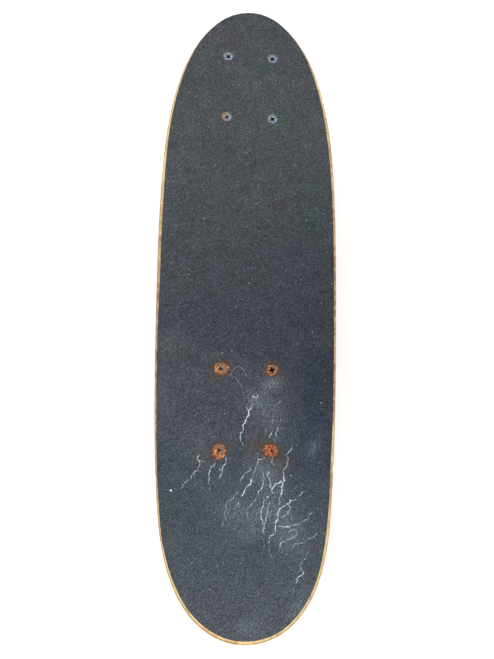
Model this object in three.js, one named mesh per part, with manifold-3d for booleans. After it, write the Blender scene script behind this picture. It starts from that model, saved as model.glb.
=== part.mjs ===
// A small wooden cruiser skateboard: a kicked seven-ply deck with grip tape, two cast trucks that lean on
// urethane bushings, and four wheels on ball bearings. Millimetres, +Z up, +Y towards the nose, +X to the
// rider's right. The origin is on the ground, under the middle of the board's overall box.
import * as THREE from "three";
import { mergeVertices } from "three/addons/utils/BufferGeometryUtils.js";
import Module from "manifold-3d";

const wasm = await Module();
wasm.setup();

// ---- Driving dimensions ------------------------------------------------------------------------------

const GAP = 0.3; // between pieces that touch on the real board

// Lengths along the blank, before it is bent, are counted from the middle of the wheelbase.
const DECK = {
  width: 152.8,
  noseEnd: 229.3,
  tailEnd: -307,
  widestAt: 10.7,
  thickness: 10,
  edgeRadius: 3,
  nosePower: 2.91, // a power of 2 would be an ellipse, and more is squarer
  tailPower: 7.63,
  taper: 0.155, // share of the width lost by the tail tip
  taperPower: 1.46,
};
const KICK = { start: -186, radius: 140, angle: THREE.MathUtils.degToRad(20) };
const GRIP = { thickness: 0.8, inset: 2.2 };
const RISER = { thickness: 3, width: 58, length: 88, corner: 8 };
const HOLES = { across: 41.275, along: 63.5 }; // the old 1 5/8 by 2 1/2 inch truck pattern
const TRUCKS_APART = 292; // centre of one bolt pattern to the other
const BOLT = { shank: 2.4, head: 4.65, headDepth: 2.7, length: 28, recess: 2.2, slot: 1.1, reach: 5.2 };
const NUT = { flats: 9.5, height: 4.2, collar: 1.4, bore: 2.75 };

const WHEEL = { radius: 29, width: 40, lip: 7, tread: 24, seat: 11.2, hub: 9.5, dish: 17, sides: 24 };
const BEARING = { outer: 11, bore: 4.2, width: 7, shield: 9.6, groove: 0.6 };
const SPACER = { outer: 5.2, bore: 4.15, length: 10 };
const SPEED_WASHER = 1; // room left on the axle for the thin washers each side of the bearings
const AXLE = { radius: 3.9, nutRoom: 7.5 };
const AXLE_NUT = { flats: 12.7, height: 5, collar: 1.6, bore: 4.15 };

// Truck, in its own frame: y outwards from the board's middle, z up, and the origin in the middle of the
// four bolts, where the riser pad meets the plate.
const PLATE = { width: 58, length: 86, thickness: 5, corner: 8, rib: 7 };
const AXLE_POINT = { y: 8, z: -50 };
const PIVOT_POINT = { y: 27, z: -14.5 };
const KINGPIN = {
  tilt: THREE.MathUtils.degToRad(20),
  crossing: -1, // y where its axis meets the plate's deck side
  radius: 4.75,
  flats: 14.3,
  head: 4.6,
  headAt: 3.4,
};
const KINGPIN_BOSS = { root: 13, face: 12.2 };
const PIVOT_BOSS = { radius: 11.5, back: -11, face: 4 };
const STACK = { seat: 13, washer: 1.2, upper: 14, ring: 7, lower: 9, nut: 7.5, tail: 2 };
const BUSHING = { radius: 12.2, waist: 11.2, tip: 9.6, bore: 5.1 };
const RING = { outer: 15, bore: 7.6 };
const HANGER = { faceToFace: 76, endRadius: 8, shoulder: 9.5, middle: 11.5, web: 15, wing: 6.5 };
const BUSHING_ROOM = 14;
const PIVOT = { ball: 5.9, neck: 5.1, root: 7, cupInner: 6.3, cupOuter: 8.2, cupMouth: 4.5 };

const HUB_LENGTH = 2 * BEARING.width + SPACER.length;
const RISER_TOP = WHEEL.radius - AXLE_POINT.z + RISER.thickness;
const DECK_TOP = RISER_TOP + DECK.thickness;
const GRIP_TOP = GAP + GRIP.thickness; // above the deck's top face

// ---- Colours -----------------------------------------------------------------------------------------

const finish = (color, roughness, metalness = 0) =>
  new THREE.MeshStandardMaterial({ color, roughness, metalness });
const MATERIALS = {
  maple: finish(0xd6a868, 0.6),
  grip: finish(0x4b5058, 0.95),
  plastic: finish(0x1d1e20, 0.55),
  zinc: finish(0xa3adb8, 0.38, 0.9),
  rust: finish(0xb0623a, 0.9, 0.1),
  castAluminium: finish(0xb4b6b8, 0.45, 0.9),
  steel: finish(0x8f9296, 0.35, 0.9),
  urethane: finish(0xe6dfc9, 0.5),
  bushing: finish(0xc98a3a, 0.6),
};

// ---- Solids ------------------------------------------------------------------------------------------

/** A closed three.js geometry as a manifold-3d solid. */
function solidOf(geometry) {
  const bare = geometry.index ? geometry.toNonIndexed() : geometry.clone();
  bare.deleteAttribute("uv");
  bare.deleteAttribute("normal");
  const merged = mergeVertices(bare, 1e-4);
  return new wasm.Manifold(
    new wasm.Mesh({
      numProp: 3,
      vertProperties: merged.attributes.position.array,
      triVerts: new Uint32Array(merged.index.array),
    }),
  );
}

function geometryOf(solid) {
  const { vertProperties, triVerts } = solid.getMesh();
  const geometry = new THREE.BufferGeometry();
  geometry.setAttribute("position", new THREE.BufferAttribute(vertProperties, 3));
  geometry.setIndex(new THREE.BufferAttribute(triVerts, 1));
  geometry.computeVertexNormals();
  return geometry;
}

const joined = (...geometries) => geometries.map(solidOf).reduce((a, b) => a.add(b));
const cut = (solid, ...tools) => tools.map(solidOf).reduce((a, b) => a.subtract(b), solid);

const v3 = (x, y, z) => new THREE.Vector3(x, y, z);
const ORIGIN = v3(0, 0, 0);
const UP = v3(0, 0, 1);
const DOWN = v3(0, 0, -1);
const ACROSS = v3(1, 0, 0);

/** Moves a geometry so that its own +Y axis lies along `axis` and its origin is at `at`. */
function placed(geometry, at, axis) {
  const turn = new THREE.Quaternion().setFromUnitVectors(v3(0, 1, 0), axis);
  return geometry.applyQuaternion(turn).translate(at.x, at.y, at.z);
}

/** How many sides a round shape of this radius needs: 12 for a bolt, 16 for a bearing. */
const sidesFor = (radius) => Math.max(12, 4 * Math.round((radius + 10) / 6));

/** A solid of revolution from [radius, height] pairs, turned about +Y. */
function revolved(profile, sides = sidesFor(Math.max(...profile.map(([radius]) => radius)))) {
  const points = profile.map(([radius, height]) => new THREE.Vector2(radius, height));
  const closed = points[0].x > 0 ? [...points, points[0].clone()] : points;
  if (THREE.ShapeUtils.area(points) < 0) closed.reverse();
  return new THREE.LatheGeometry(closed, sides);
}

/** A profile's upper half and its mirror image below height 0. */
const bothSides = (half) => [...half, ...half.toReversed().map(([radius, height]) => [radius, -height])];

/** A ring with square edges, from height 0 to `length` along +Y. */
const tube = (outer, inner, length) => revolved([[inner, 0], [outer, 0], [outer, length], [inner, length]]);

const rod = (radius, from, to) => revolved([[0, from], [radius, from], [radius, to], [0, to]]);

/** A rounded rectangle in X and Y, extruded upwards from z = 0. */
function roundedSlab(width, length, height, corner) {
  const [x, y] = [width / 2, length / 2];
  const shape = new THREE.Shape();
  shape.moveTo(-x + corner, -y);
  shape.lineTo(x - corner, -y);
  shape.absarc(x - corner, -y + corner, corner, -Math.PI / 2, 0);
  shape.absarc(x - corner, y - corner, corner, 0, Math.PI / 2);
  shape.absarc(-x + corner, y - corner, corner, Math.PI / 2, Math.PI);
  shape.absarc(-x + corner, -y + corner, corner, Math.PI, 1.5 * Math.PI);
  return new THREE.ExtrudeGeometry(shape, { depth: height, bevelEnabled: false, curveSegments: 4 });
}

/** A side profile in Y and Z, extruded to `width` across X and centred on x = 0. */
function sideSlab(points, width) {
  const shape = new THREE.Shape(points.map(([y, z]) => new THREE.Vector2(y, z)));
  const slab = new THREE.ExtrudeGeometry(shape, { depth: width, bevelEnabled: false });
  return slab.rotateX(Math.PI / 2).rotateZ(Math.PI / 2).translate(-width / 2, 0, 0);
}

/** A hexagonal prism with chamfered corners and a round collar, from height 0 up along +Y. */
function hexNut({ flats, height, collar, bore }) {
  const corner = flats / 2 / Math.cos(Math.PI / 6);
  const prism = new THREE.CylinderGeometry(corner, corner, height, 6).translate(0, height / 2, 0);
  const chamfer = revolved(
    [[0, -1], [corner + 1, -1], [corner + 1, height - 1.3], [flats / 2, height], [0, height]],
    12,
  );
  const body = solidOf(prism).intersect(solidOf(chamfer));
  const ring = solidOf(rod(flats * 0.4, height / 2, height + collar));
  return cut(body.add(ring), rod(bore, -1, height + collar + 1));
}

const HOLE_PLACES = [-1, 1].flatMap((end) =>
  [-1, 1].map((side) => ({ x: (side * HOLES.across) / 2, y: (end * HOLES.along) / 2 })),
);

// ---- Deck and grip tape ------------------------------------------------------------------------------

/** The blank's outline on the rider's right, from the nose tip (0) to the tail tip (1). */
function outline(t) {
  const half = DECK.width / 2;
  const along = Math.abs(Math.cos(t * Math.PI));
  if (t < 0.5) {
    const x = half * Math.sqrt(1 - along ** DECK.nosePower);
    return { x, s: DECK.widestAt + along * (DECK.noseEnd - DECK.widestAt) };
  }
  const narrowing = 1 - DECK.taper * along ** DECK.taperPower;
  const x = half * narrowing * Math.sqrt(1 - along ** DECK.tailPower);
  return { x, s: DECK.widestAt + along * (DECK.tailEnd - DECK.widestAt) };
}

/** The outline moved inwards by `inset`, along its own normal. */
function insetOutline(t, inset) {
  const here = outline(t);
  if (t === 0) return { x: 0, s: here.s - inset };
  if (t === 1) return { x: 0, s: here.s + inset };
  const step = 1e-4;
  const [before, after] = [outline(t - step), outline(t + step)];
  const [dx, ds] = [after.x - before.x, after.s - before.s];
  const length = Math.hypot(dx, ds);
  return { x: here.x + (ds / length) * inset, s: here.s - (dx / length) * inset };
}

/** Bends the blank: `s` runs along its top face and `h` is the height above it. */
function bent(x, s, h) {
  const along = KICK.start - s;
  if (along <= 0) return v3(x, s, h);
  const turn = Math.min(along / KICK.radius, KICK.angle);
  const straight = along - turn * KICK.radius;
  const radius = KICK.radius - h;
  return v3(
    x,
    KICK.start - radius * Math.sin(turn) - straight * Math.cos(turn),
    KICK.radius - radius * Math.cos(turn) + straight * Math.sin(turn),
  );
}

const OUTLINE_ROWS = 40;

/** A sheet with the board's outline, bent with it. `rings` lists [inset, height] from the top face down. */
function boardSheet(rings) {
  const rows = Array.from({ length: OUTLINE_ROWS + 1 }, (_, i) => i / OUTLINE_ROWS);
  const around = 2 * (rows.length - 1);
  const right = (ring, i) => ring * around + i;
  const left = (ring, i) => ring * around + ((around - i) % around);
  const positions = [];
  for (const [inset, height] of rings) {
    const half = rows.map((t) => insetOutline(t, inset));
    for (const { x, s } of half) positions.push(bent(x, s, height));
    for (let i = rows.length - 2; i > 0; i--) positions.push(bent(-half[i].x, half[i].s, height));
  }
  const triangles = [];
  for (let ring = 0; ring + 1 < rings.length; ring++) {
    for (let i = 0; i < around; i++) {
      const next = (i + 1) % around;
      const [a, b] = [ring * around + i, ring * around + next];
      triangles.push(a, b, b + around, a, b + around, a + around);
    }
  }
  const last = rings.length - 1;
  for (let i = 0; i + 1 < rows.length; i++) {
    const faces = [
      [right(0, i), left(0, i), left(0, i + 1)],
      [right(0, i), left(0, i + 1), right(0, i + 1)],
    ];
    const under = [
      [right(last, i), left(last, i + 1), left(last, i)],
      [right(last, i), right(last, i + 1), left(last, i + 1)],
    ];
    for (const face of [...faces, ...under]) if (new Set(face).size === 3) triangles.push(...face);
  }
  const geometry = new THREE.BufferGeometry().setFromPoints(positions);
  geometry.setIndex(triangles);
  return geometry;
}

function deckRings() {
  const { edgeRadius, thickness } = DECK;
  const corner = [0, 45, 90].map((degrees) => {
    const a = THREE.MathUtils.degToRad(degrees);
    return [edgeRadius * (1 - Math.sin(a)), edgeRadius * (1 - Math.cos(a))];
  });
  const top = corner.map(([inset, depth]) => [inset, -depth]);
  const bottom = corner.map(([inset, depth]) => [inset, depth - thickness]).reverse();
  return [...top, ...bottom];
}

/** The eight countersunk holes through deck and grip tape, as one cutting tool each. */
function boltHoles() {
  const rim = BOLT.head + 2 * GAP;
  const shaft = BOLT.shank + 2 * GAP;
  const profile = [
    [0, GRIP_TOP + 1],
    [rim, GRIP_TOP + 1],
    [rim, 0],
    [shaft, -BOLT.headDepth - GAP],
    [shaft, -DECK.thickness - 1],
    [0, -DECK.thickness - 1],
  ];
  return [-1, 1].flatMap((truck) =>
    HOLE_PLACES.map(({ x, y }) => placed(revolved(profile), v3(x, y + (truck * TRUCKS_APART) / 2, 0), UP)),
  );
}

const deckSolid = () => cut(solidOf(boardSheet(deckRings())), ...boltHoles());

function gripSolid() {
  const rings = [[GRIP.inset, GRIP_TOP], [GRIP.inset, GAP]];
  return cut(solidOf(boardSheet(rings)), ...boltHoles());
}

// ---- Deck hardware -----------------------------------------------------------------------------------

/** A countersunk cross-head bolt, its head's top at z = 0 and its shank running down. */
function boltSolid() {
  const { shank, head, headDepth, length, recess, slot, reach } = BOLT;
  const profile = [[0, 0], [head, 0], [head, -0.4], [shank, -headDepth], [shank, -length], [0, -length]];
  const arm = () => new THREE.BoxGeometry(reach, slot, 2 * recess);
  return cut(solidOf(placed(revolved(profile), ORIGIN, UP)), arm(), arm().rotateZ(Math.PI / 2));
}

const nutGeometry = () => placed(geometryOf(hexNut(NUT)), ORIGIN, DOWN);

function riserSolid() {
  const slab = roundedSlab(RISER.width, RISER.length, RISER.thickness - GAP, RISER.corner);
  const holes = HOLE_PLACES.map(({ x, y }) => placed(rod(3, -1, RISER.thickness + 1), v3(x, y, 0), UP));
  return cut(solidOf(slab), ...holes);
}

// ---- Truck: fixed half -------------------------------------------------------------------------------

const kingpinDown = v3(0, -Math.sin(KINGPIN.tilt), -Math.cos(KINGPIN.tilt));
const onKingpin = (distance) => v3(0, KINGPIN.crossing, 0).addScaledVector(kingpinDown, distance);
const axlePoint = v3(0, AXLE_POINT.y, AXLE_POINT.z);
const pivotPoint = v3(0, PIVOT_POINT.y, PIVOT_POINT.z);

/** Where each piece on the kingpin starts, measured down the pin from the plate's deck side. */
const stackAt = {};
stackAt.upperWasher = STACK.seat + GAP;
stackAt.upperBushing = stackAt.upperWasher + STACK.washer + GAP;
stackAt.ring = stackAt.upperBushing + STACK.upper + GAP;
stackAt.lowerBushing = stackAt.ring + STACK.ring + GAP;
stackAt.lowerWasher = stackAt.lowerBushing + STACK.lower + GAP;
stackAt.nut = stackAt.lowerWasher + STACK.washer + GAP;
stackAt.end = stackAt.nut + STACK.nut + STACK.tail;

// The hanger steers about the line from the pivot cup to the middle of the ring between the bushings.
const ringCentre = onKingpin(stackAt.ring + STACK.ring / 2);
const steerAxis = ringCentre.clone().sub(pivotPoint).normalize();

function baseplateSolid() {
  const { width, length, thickness, corner, rib } = PLATE;
  const plate = roundedSlab(width, length, thickness, corner).translate(0, 0, -thickness);
  const { root, face } = KINGPIN_BOSS;
  const kingpinBoss = revolved([[0, -4], [root, -4], [face, STACK.seat], [0, STACK.seat]]);
  const pivotBoss = rod(PIVOT_BOSS.radius, PIVOT_BOSS.back, PIVOT_BOSS.face);
  const spine = sideSlab([[-34, -thickness + 1], [-26, -7], [30, -7], [38, -thickness + 1]], rib);
  const crossRibs = [-20, 20].map((y) => new THREE.BoxGeometry(width - 14, 4, 4).translate(0, y, -thickness));
  const above = new THREE.BoxGeometry(2 * width, 2 * length, 60).translate(0, 0, 30 - GAP);
  const hexCorner = (KINGPIN.flats / 2 + GAP) / Math.cos(Math.PI / 6);
  const hexDepth = KINGPIN.headAt + KINGPIN.head + GAP;
  const hexRecess = new THREE.CylinderGeometry(hexCorner, hexCorner, 40, 6).translate(0, hexDepth - 20, 0);
  const pinHole = rod(KINGPIN.radius + GAP, -5, STACK.seat + 5);
  const boltHolesHere = HOLE_PLACES.map(({ x, y }) => placed(rod(2.8, -40, 1), v3(x, y, 0), UP));
  return cut(
    joined(
      plate,
      placed(kingpinBoss, onKingpin(0), kingpinDown),
      placed(pivotBoss, pivotPoint, steerAxis),
      spine,
      ...crossRibs,
    ),
    above,
    placed(hexRecess, onKingpin(0), kingpinDown),
    placed(pinHole, onKingpin(0), kingpinDown),
    placed(roundEndedRod(PIVOT.cupOuter + GAP, 12), pivotPoint, steerAxis),
    ...boltHolesHere,
  );
}

/** The profile of a half ball about the origin, up to `degrees` past its middle. */
function ballProfile(radius, degrees = 0) {
  const steps = [-60, -30, 0, degrees].filter((step, i, all) => all.indexOf(step) === i);
  const around = steps.map((step) => THREE.MathUtils.degToRad(step));
  return [[0, -radius], ...around.map((a) => [radius * Math.cos(a), radius * Math.sin(a)])];
}

/** A rod with a ball end: the ball's centre is the origin and the rod runs along +Y to `reach`. */
const roundEndedRod = (radius, reach) => revolved([...ballProfile(radius), [radius, reach], [0, reach]]);

/** The cup that the hanger's nose turns in, with a flared mouth. */
function pivotCupGeometry() {
  const { cupInner, cupOuter, cupMouth } = PIVOT;
  const [low, high] = [cupMouth - 1.5, cupMouth + 1];
  const flare = revolved([[0, low], [cupInner - 0.2, low], [cupInner + 1.2, high], [0, high]]);
  const cup = cut(solidOf(roundEndedRod(cupOuter, cupMouth)), roundEndedRod(cupInner, cupMouth + 2), flare);
  return placed(geometryOf(cup), pivotPoint, steerAxis);
}

function kingpinSolid() {
  const corner = KINGPIN.flats / 2 / Math.cos(Math.PI / 6);
  const head = new THREE.CylinderGeometry(corner, corner, KINGPIN.head, 6).translate(
    0,
    KINGPIN.headAt + KINGPIN.head / 2,
    0,
  );
  const { radius } = KINGPIN;
  const shank = revolved(
    [
      [0, KINGPIN.headAt + 1],
      [radius, KINGPIN.headAt + 1],
      [radius, stackAt.end - 1],
      [radius - 1, stackAt.end],
      [0, stackAt.end],
    ],
    20,
  );
  return joined(placed(head, onKingpin(0), kingpinDown), placed(shank, onKingpin(0), kingpinDown));
}

function kingpinNutGeometry() {
  const collar = 1.8;
  const nut = hexNut({ flats: 14.3, height: STACK.nut - collar, collar, bore: KINGPIN.radius + GAP });
  return placed(geometryOf(nut), onKingpin(stackAt.nut), kingpinDown);
}

/** A cupped steel washer, its rim turned towards the bushing by `towards` (+1 down the pin, -1 up). */
function washerGeometry(start, towards, rim) {
  const { washer } = STACK;
  const lift = 1.2 * towards;
  const profile = [
    [BUSHING.bore, 0],
    [rim, 0],
    [rim + 1.6, lift],
    [rim + 1.6, lift + washer],
    [rim, washer],
    [BUSHING.bore, washer],
  ];
  return placed(revolved(profile), onKingpin(start), kingpinDown);
}

/** A urethane bushing on the kingpin, from its outer [radius, height] profile. */
function bushingGeometry(start, outer) {
  const height = outer.at(-1)[1];
  const profile = [[BUSHING.bore, 0], ...outer, [BUSHING.bore, height]];
  return placed(revolved(profile), onKingpin(start), kingpinDown);
}

function upperBushing() {
  const { radius, waist } = BUSHING;
  const { upper } = STACK;
  const outer = [[waist, 0], [radius, 1.6], [radius, upper - 1.2], [waist, upper]];
  return bushingGeometry(stackAt.upperBushing, outer);
}

function lowerBushing() {
  const { radius, waist, tip } = BUSHING;
  const { lower } = STACK;
  const outer = [[waist, 0], [radius, 1.2], [tip + 0.4, lower - 1.4], [tip - 0.6, lower]];
  return bushingGeometry(stackAt.lowerBushing, outer);
}

// ---- Truck: hanger and axle --------------------------------------------------------------------------

/** A [y, z] beside the kingpin: `out` from its axis, outwards, and `down` it from the ring's middle. */
const besidePin = (out, down) => [
  ringCentre.y - kingpinDown.z * out + kingpinDown.y * down,
  ringCentre.z + kingpinDown.y * out + kingpinDown.z * down,
];

/** The flat wings that spread from the ring to the axle barrel, drawn in X and the line between the two. */
function wingsGeometry() {
  const { faceToFace, wing } = HANGER;
  const toAxle = axlePoint.clone().sub(ringCentre);
  const reach = toAxle.length();
  const spread = faceToFace / 2 - 7;
  const shape = new THREE.Shape();
  shape.moveTo(-RING.outer + 1, 1);
  shape.lineTo(RING.outer - 1, 1);
  shape.quadraticCurveTo(RING.outer + 3, reach * 0.62, spread, reach - 2);
  shape.lineTo(spread, reach);
  shape.lineTo(-spread, reach);
  shape.lineTo(-spread, reach - 2);
  shape.quadraticCurveTo(-RING.outer - 3, reach * 0.62, -RING.outer + 1, 1);
  const slab = new THREE.ExtrudeGeometry(shape, { depth: wing, bevelEnabled: false, curveSegments: 5 });
  slab.translate(0, 0, -wing / 2);
  toAxle.normalize();
  slab.applyMatrix4(new THREE.Matrix4().makeBasis(ACROSS, toAxle, ACROSS.clone().cross(toAxle)));
  return slab.translate(0, ringCentre.y, ringCentre.z);
}

/** The nose that turns in the pivot cup: a ball on a narrower neck, round about the steering axis. */
function noseGeometry() {
  const { ball, neck, root } = PIVOT;
  const profile = [...ballProfile(ball, 25), [neck, 5.5], [neck + 0.5, 8], [root, 12], [root, 16], [0, 16]];
  return placed(revolved(profile), pivotPoint, steerAxis);
}

function hangerSolid() {
  const { faceToFace, endRadius, shoulder, middle, web } = HANGER;
  const end = faceToFace / 2;
  const barrel = revolved(bothSides([[0, end], [endRadius, end], [shoulder, end - 9], [middle, 9]]));
  const ring = rod(RING.outer, stackAt.ring, stackAt.ring + STACK.ring);
  const thick = STACK.ring / 2 - 0.2;
  const webPlate = sideSlab(
    [
      besidePin(12, -thick),
      [7, -25],
      [11, -18],
      [19, -22],
      [20, -36],
      [axlePoint.y + middle - 1, axlePoint.z],
      [axlePoint.y, axlePoint.z],
      besidePin(12, thick),
    ],
    web,
  );
  const bore = rod(RING.bore, stackAt.ring - 5, stackAt.ring + STACK.ring + 5);
  const lowerRoom = rod(BUSHING_ROOM, stackAt.ring + STACK.ring, stackAt.end + 12);
  const upperRoom = rod(BUSHING_ROOM, STACK.seat, stackAt.ring);
  const axleHole = rod(AXLE.radius + GAP, -end - 1, end + 1);
  return cut(
    joined(
      placed(barrel, axlePoint, ACROSS),
      placed(ring, onKingpin(0), kingpinDown),
      webPlate,
      wingsGeometry(),
      noseGeometry(),
    ),
    placed(bore, onKingpin(0), kingpinDown),
    placed(lowerRoom, onKingpin(0), kingpinDown),
    placed(upperRoom, onKingpin(0), kingpinDown),
    placed(axleHole, axlePoint, ACROSS),
  );
}

const hubStart = HANGER.faceToFace / 2 + SPEED_WASHER;
const hubCentre = hubStart + HUB_LENGTH / 2;

function axleGeometry() {
  const end = hubStart + HUB_LENGTH + SPEED_WASHER + AXLE.nutRoom;
  const { radius } = AXLE;
  const profile = [
    [0, -end],
    [radius - 0.8, -end],
    [radius, -end + 0.8],
    [radius, end - 0.8],
    [radius - 0.8, end],
    [0, end],
  ];
  return placed(revolved(profile), axlePoint, ACROSS);
}

// ---- Wheel -------------------------------------------------------------------------------------------

/** A urethane wheel about X, centred on the origin, with a bearing seat in each face. */
function wheelGeometry() {
  const { radius, width, lip, tread, seat, hub, dish, sides } = WHEEL;
  const side = width / 2;
  const seatFloor = SPACER.length / 2 - GAP;
  const seatMouth = HUB_LENGTH / 2 + GAP;
  const half = [
    [hub, seatFloor],
    [seat, seatFloor],
    [seat, seatMouth],
    [dish - 2, seatMouth],
    [dish, side],
    [radius - lip, side],
    [radius - 0.3 * lip, side - 0.3 * lip],
    [radius, tread / 2],
  ];
  // Half a facet's turn lays one flat facet on the ground, and the growth brings the facets out to the radius.
  const growth = 1 / Math.cos(Math.PI / sides);
  const wheel = revolved(bothSides(half), sides).rotateY(Math.PI / sides).scale(growth, 1, growth);
  return placed(wheel, ORIGIN, ACROSS);
}

/** A ball bearing about X, its inner face at x = 0 and its shield sunk a little into the outer one. */
function bearingGeometry() {
  const { outer, bore, width, shield, groove } = BEARING;
  const face = width - GAP;
  const profile = [
    [bore, 0],
    [outer, 0],
    [outer, face],
    [shield, face],
    [shield, face - groove],
    [bore, face - groove],
  ];
  return placed(revolved(profile), ORIGIN, ACROSS);
}

// ---- Assembly ----------------------------------------------------------------------------------------

function add(group, name, shape, material, at = ORIGIN) {
  const geometry = shape.isBufferGeometry ? shape : geometryOf(shape);
  const mesh = new THREE.Mesh(geometry, MATERIALS[material]);
  mesh.name = name;
  mesh.position.copy(at);
  group.add(mesh);
  return mesh;
}

/** What one end of an axle carries. `side` is +1 or -1 along the truck's own X. */
function addWheel(group, name, side) {
  const along = (x) => axlePoint.clone().add(v3(side * x, 0, 0));
  const outerStart = hubStart + BEARING.width + SPACER.length;
  const spacer = placed(tube(SPACER.outer, SPACER.bore, SPACER.length - 2 * GAP), ORIGIN, ACROSS);
  const nut = placed(geometryOf(hexNut(AXLE_NUT)), ORIGIN, ACROSS);
  add(group, `${name}_wheel`, wheelGeometry(), "urethane", along(hubCentre));
  const pieces = [
    add(group, `${name}_outer_bearing`, bearingGeometry(), "steel", along(outerStart)),
    add(group, `${name}_spacer`, spacer, "steel", along(hubStart + BEARING.width + GAP)),
    add(group, `${name}_axle_nut`, nut, "steel", along(hubStart + HUB_LENGTH + SPEED_WASHER + GAP)),
  ];
  if (side < 0) for (const piece of pieces) piece.rotation.z = Math.PI;
  // The inner bearing's shield faces the hanger.
  const innerEnd = along(hubStart + BEARING.width);
  const inner = add(group, `${name}_inner_bearing`, bearingGeometry(), "steel", innerEnd);
  if (side > 0) inner.rotation.z = Math.PI;
}

function addTruck(board, end) {
  const facing = end === "front" ? 1 : -1;
  const group = new THREE.Group();
  group.position.set(0, (facing * TRUCKS_APART) / 2, RISER_TOP - RISER.thickness);
  group.rotation.z = facing > 0 ? 0 : Math.PI;
  board.add(group);

  add(group, `${end}_riser_pad`, riserSolid(), "plastic");
  add(group, `${end}_baseplate`, baseplateSolid(), "castAluminium");
  add(group, `${end}_pivot_cup`, pivotCupGeometry(), "plastic");
  add(group, `${end}_kingpin`, kingpinSolid(), "steel");
  add(group, `${end}_upper_washer`, washerGeometry(stackAt.upperWasher, 1, BUSHING.radius - 1.2), "steel");
  add(group, `${end}_upper_bushing`, upperBushing(), "bushing");
  add(group, `${end}_lower_bushing`, lowerBushing(), "bushing");
  add(group, `${end}_lower_washer`, washerGeometry(stackAt.lowerWasher, -1, BUSHING.tip - 0.6), "steel");
  add(group, `${end}_kingpin_nut`, kingpinNutGeometry(), "steel");
  add(group, `${end}_hanger`, hangerSolid(), "castAluminium");
  add(group, `${end}_axle`, axleGeometry(), "steel");

  const headTop = RISER.thickness + DECK.thickness + GAP;
  const nutTop = -PLATE.thickness - GAP;
  const headMaterial = facing > 0 ? "zinc" : "rust";
  for (const side of [-1, 1]) {
    const hand = side * facing < 0 ? "left" : "right";
    addWheel(group, `${end}_${hand}`, side);
    for (const way of [-1, 1]) {
      const name = `${end}_${hand}_${way > 0 ? "outer" : "inner"}`;
      const [x, y] = [(side * HOLES.across) / 2, (way * HOLES.along) / 2];
      add(group, `${name}_bolt`, boltSolid(), headMaterial, v3(x, y, headTop));
      add(group, `${name}_nut`, nutGeometry(), "steel", v3(x, y, nutTop));
    }
  }
}

function skateboard() {
  const board = new THREE.Group();
  const deck = add(board, "deck", deckSolid(), "maple", v3(0, 0, DECK_TOP));
  add(board, "griptape", gripSolid(), "grip", v3(0, 0, DECK_TOP));
  addTruck(board, "front");
  addTruck(board, "rear");
  // The origin is under the middle of the deck, which is longer than the wheelbase behind than in front.
  board.position.y = -new THREE.Box3().setFromObject(deck).getCenter(v3(0, 0, 0)).y;
  const part = new THREE.Group();
  part.add(board);
  return part;
}

export default skateboard();
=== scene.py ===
"""A worn wooden cruiser skateboard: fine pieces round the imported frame, a floor, soft light and a camera.

Sizes are in millimetres until a mesh is made, and everything is built in the frame's own coordinates.
"""

import math
import random

import bmesh
import bpy
import numpy as np
from mathutils import Euler, Matrix, Vector, noise
from mathutils.geometry import delaunay_2d_cdt


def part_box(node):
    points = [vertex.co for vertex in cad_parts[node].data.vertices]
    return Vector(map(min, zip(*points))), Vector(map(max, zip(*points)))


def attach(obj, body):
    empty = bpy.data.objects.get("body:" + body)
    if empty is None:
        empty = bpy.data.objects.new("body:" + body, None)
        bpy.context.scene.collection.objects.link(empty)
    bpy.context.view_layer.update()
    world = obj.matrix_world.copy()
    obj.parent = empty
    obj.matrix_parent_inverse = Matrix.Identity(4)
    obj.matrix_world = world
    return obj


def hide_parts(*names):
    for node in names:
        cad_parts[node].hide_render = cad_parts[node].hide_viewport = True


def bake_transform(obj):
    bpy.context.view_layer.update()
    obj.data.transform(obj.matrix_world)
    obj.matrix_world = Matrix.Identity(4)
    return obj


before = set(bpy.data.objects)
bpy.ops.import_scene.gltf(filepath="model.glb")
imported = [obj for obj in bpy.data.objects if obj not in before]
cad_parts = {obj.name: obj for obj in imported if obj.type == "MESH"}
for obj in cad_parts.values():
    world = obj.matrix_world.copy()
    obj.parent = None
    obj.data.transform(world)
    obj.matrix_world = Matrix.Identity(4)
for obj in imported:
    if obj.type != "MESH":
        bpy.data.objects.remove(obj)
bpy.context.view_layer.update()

MM = 0.001
ENDS = ("front", "rear")
HANDS = ("left", "right")
BOLT_PLACES = ("inner", "outer")

# ---- What the frame gives ----


def middle_of(node):
    """The middle of a node's box, in metres."""
    low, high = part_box(node)
    return (low + high) / 2


bolt_names = [f"{end}_{hand}_{place}" for end in ENDS for hand in HANDS for place in BOLT_PLACES]
wheelbase_middle = sum(middle_of(f"{name}_bolt").y for name in bolt_names) / len(bolt_names)
plate_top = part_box("front_riser_pad")[0].z
deck_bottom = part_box("deck")[0].z

# ---- The board's own sizes, in millimetres ----

HALF_WIDTH = 76.4
NOSE_END, WIDEST_AT, TAIL_END = 229.3, 10.7, -307  # along the flat blank, from the middle of the wheelbase
NOSE_POWER, TAIL_POWER = 2.91, 7.63
TAPER, TAPER_POWER = 0.155, 1.46
KICK_START, KICK_RADIUS, KICK_ANGLE = -186, 140, math.radians(20)
DECK_THICKNESS = 10
EDGE_RADIUS = 3
PLY_DEPTHS = (0, 1.0, 1.75, 3.4, 5.0, 6.65, 8.3, DECK_THICKNESS)  # the second ply has the thinnest veneer
GRIP_INSET = 2.1
FILM_LOW, FILM_HIGH, GRIT_HIGH = 0.02, 0.8, 1.06  # above the deck's top face
LOOP_STEPS = 520
GRID = 4.0

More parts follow.
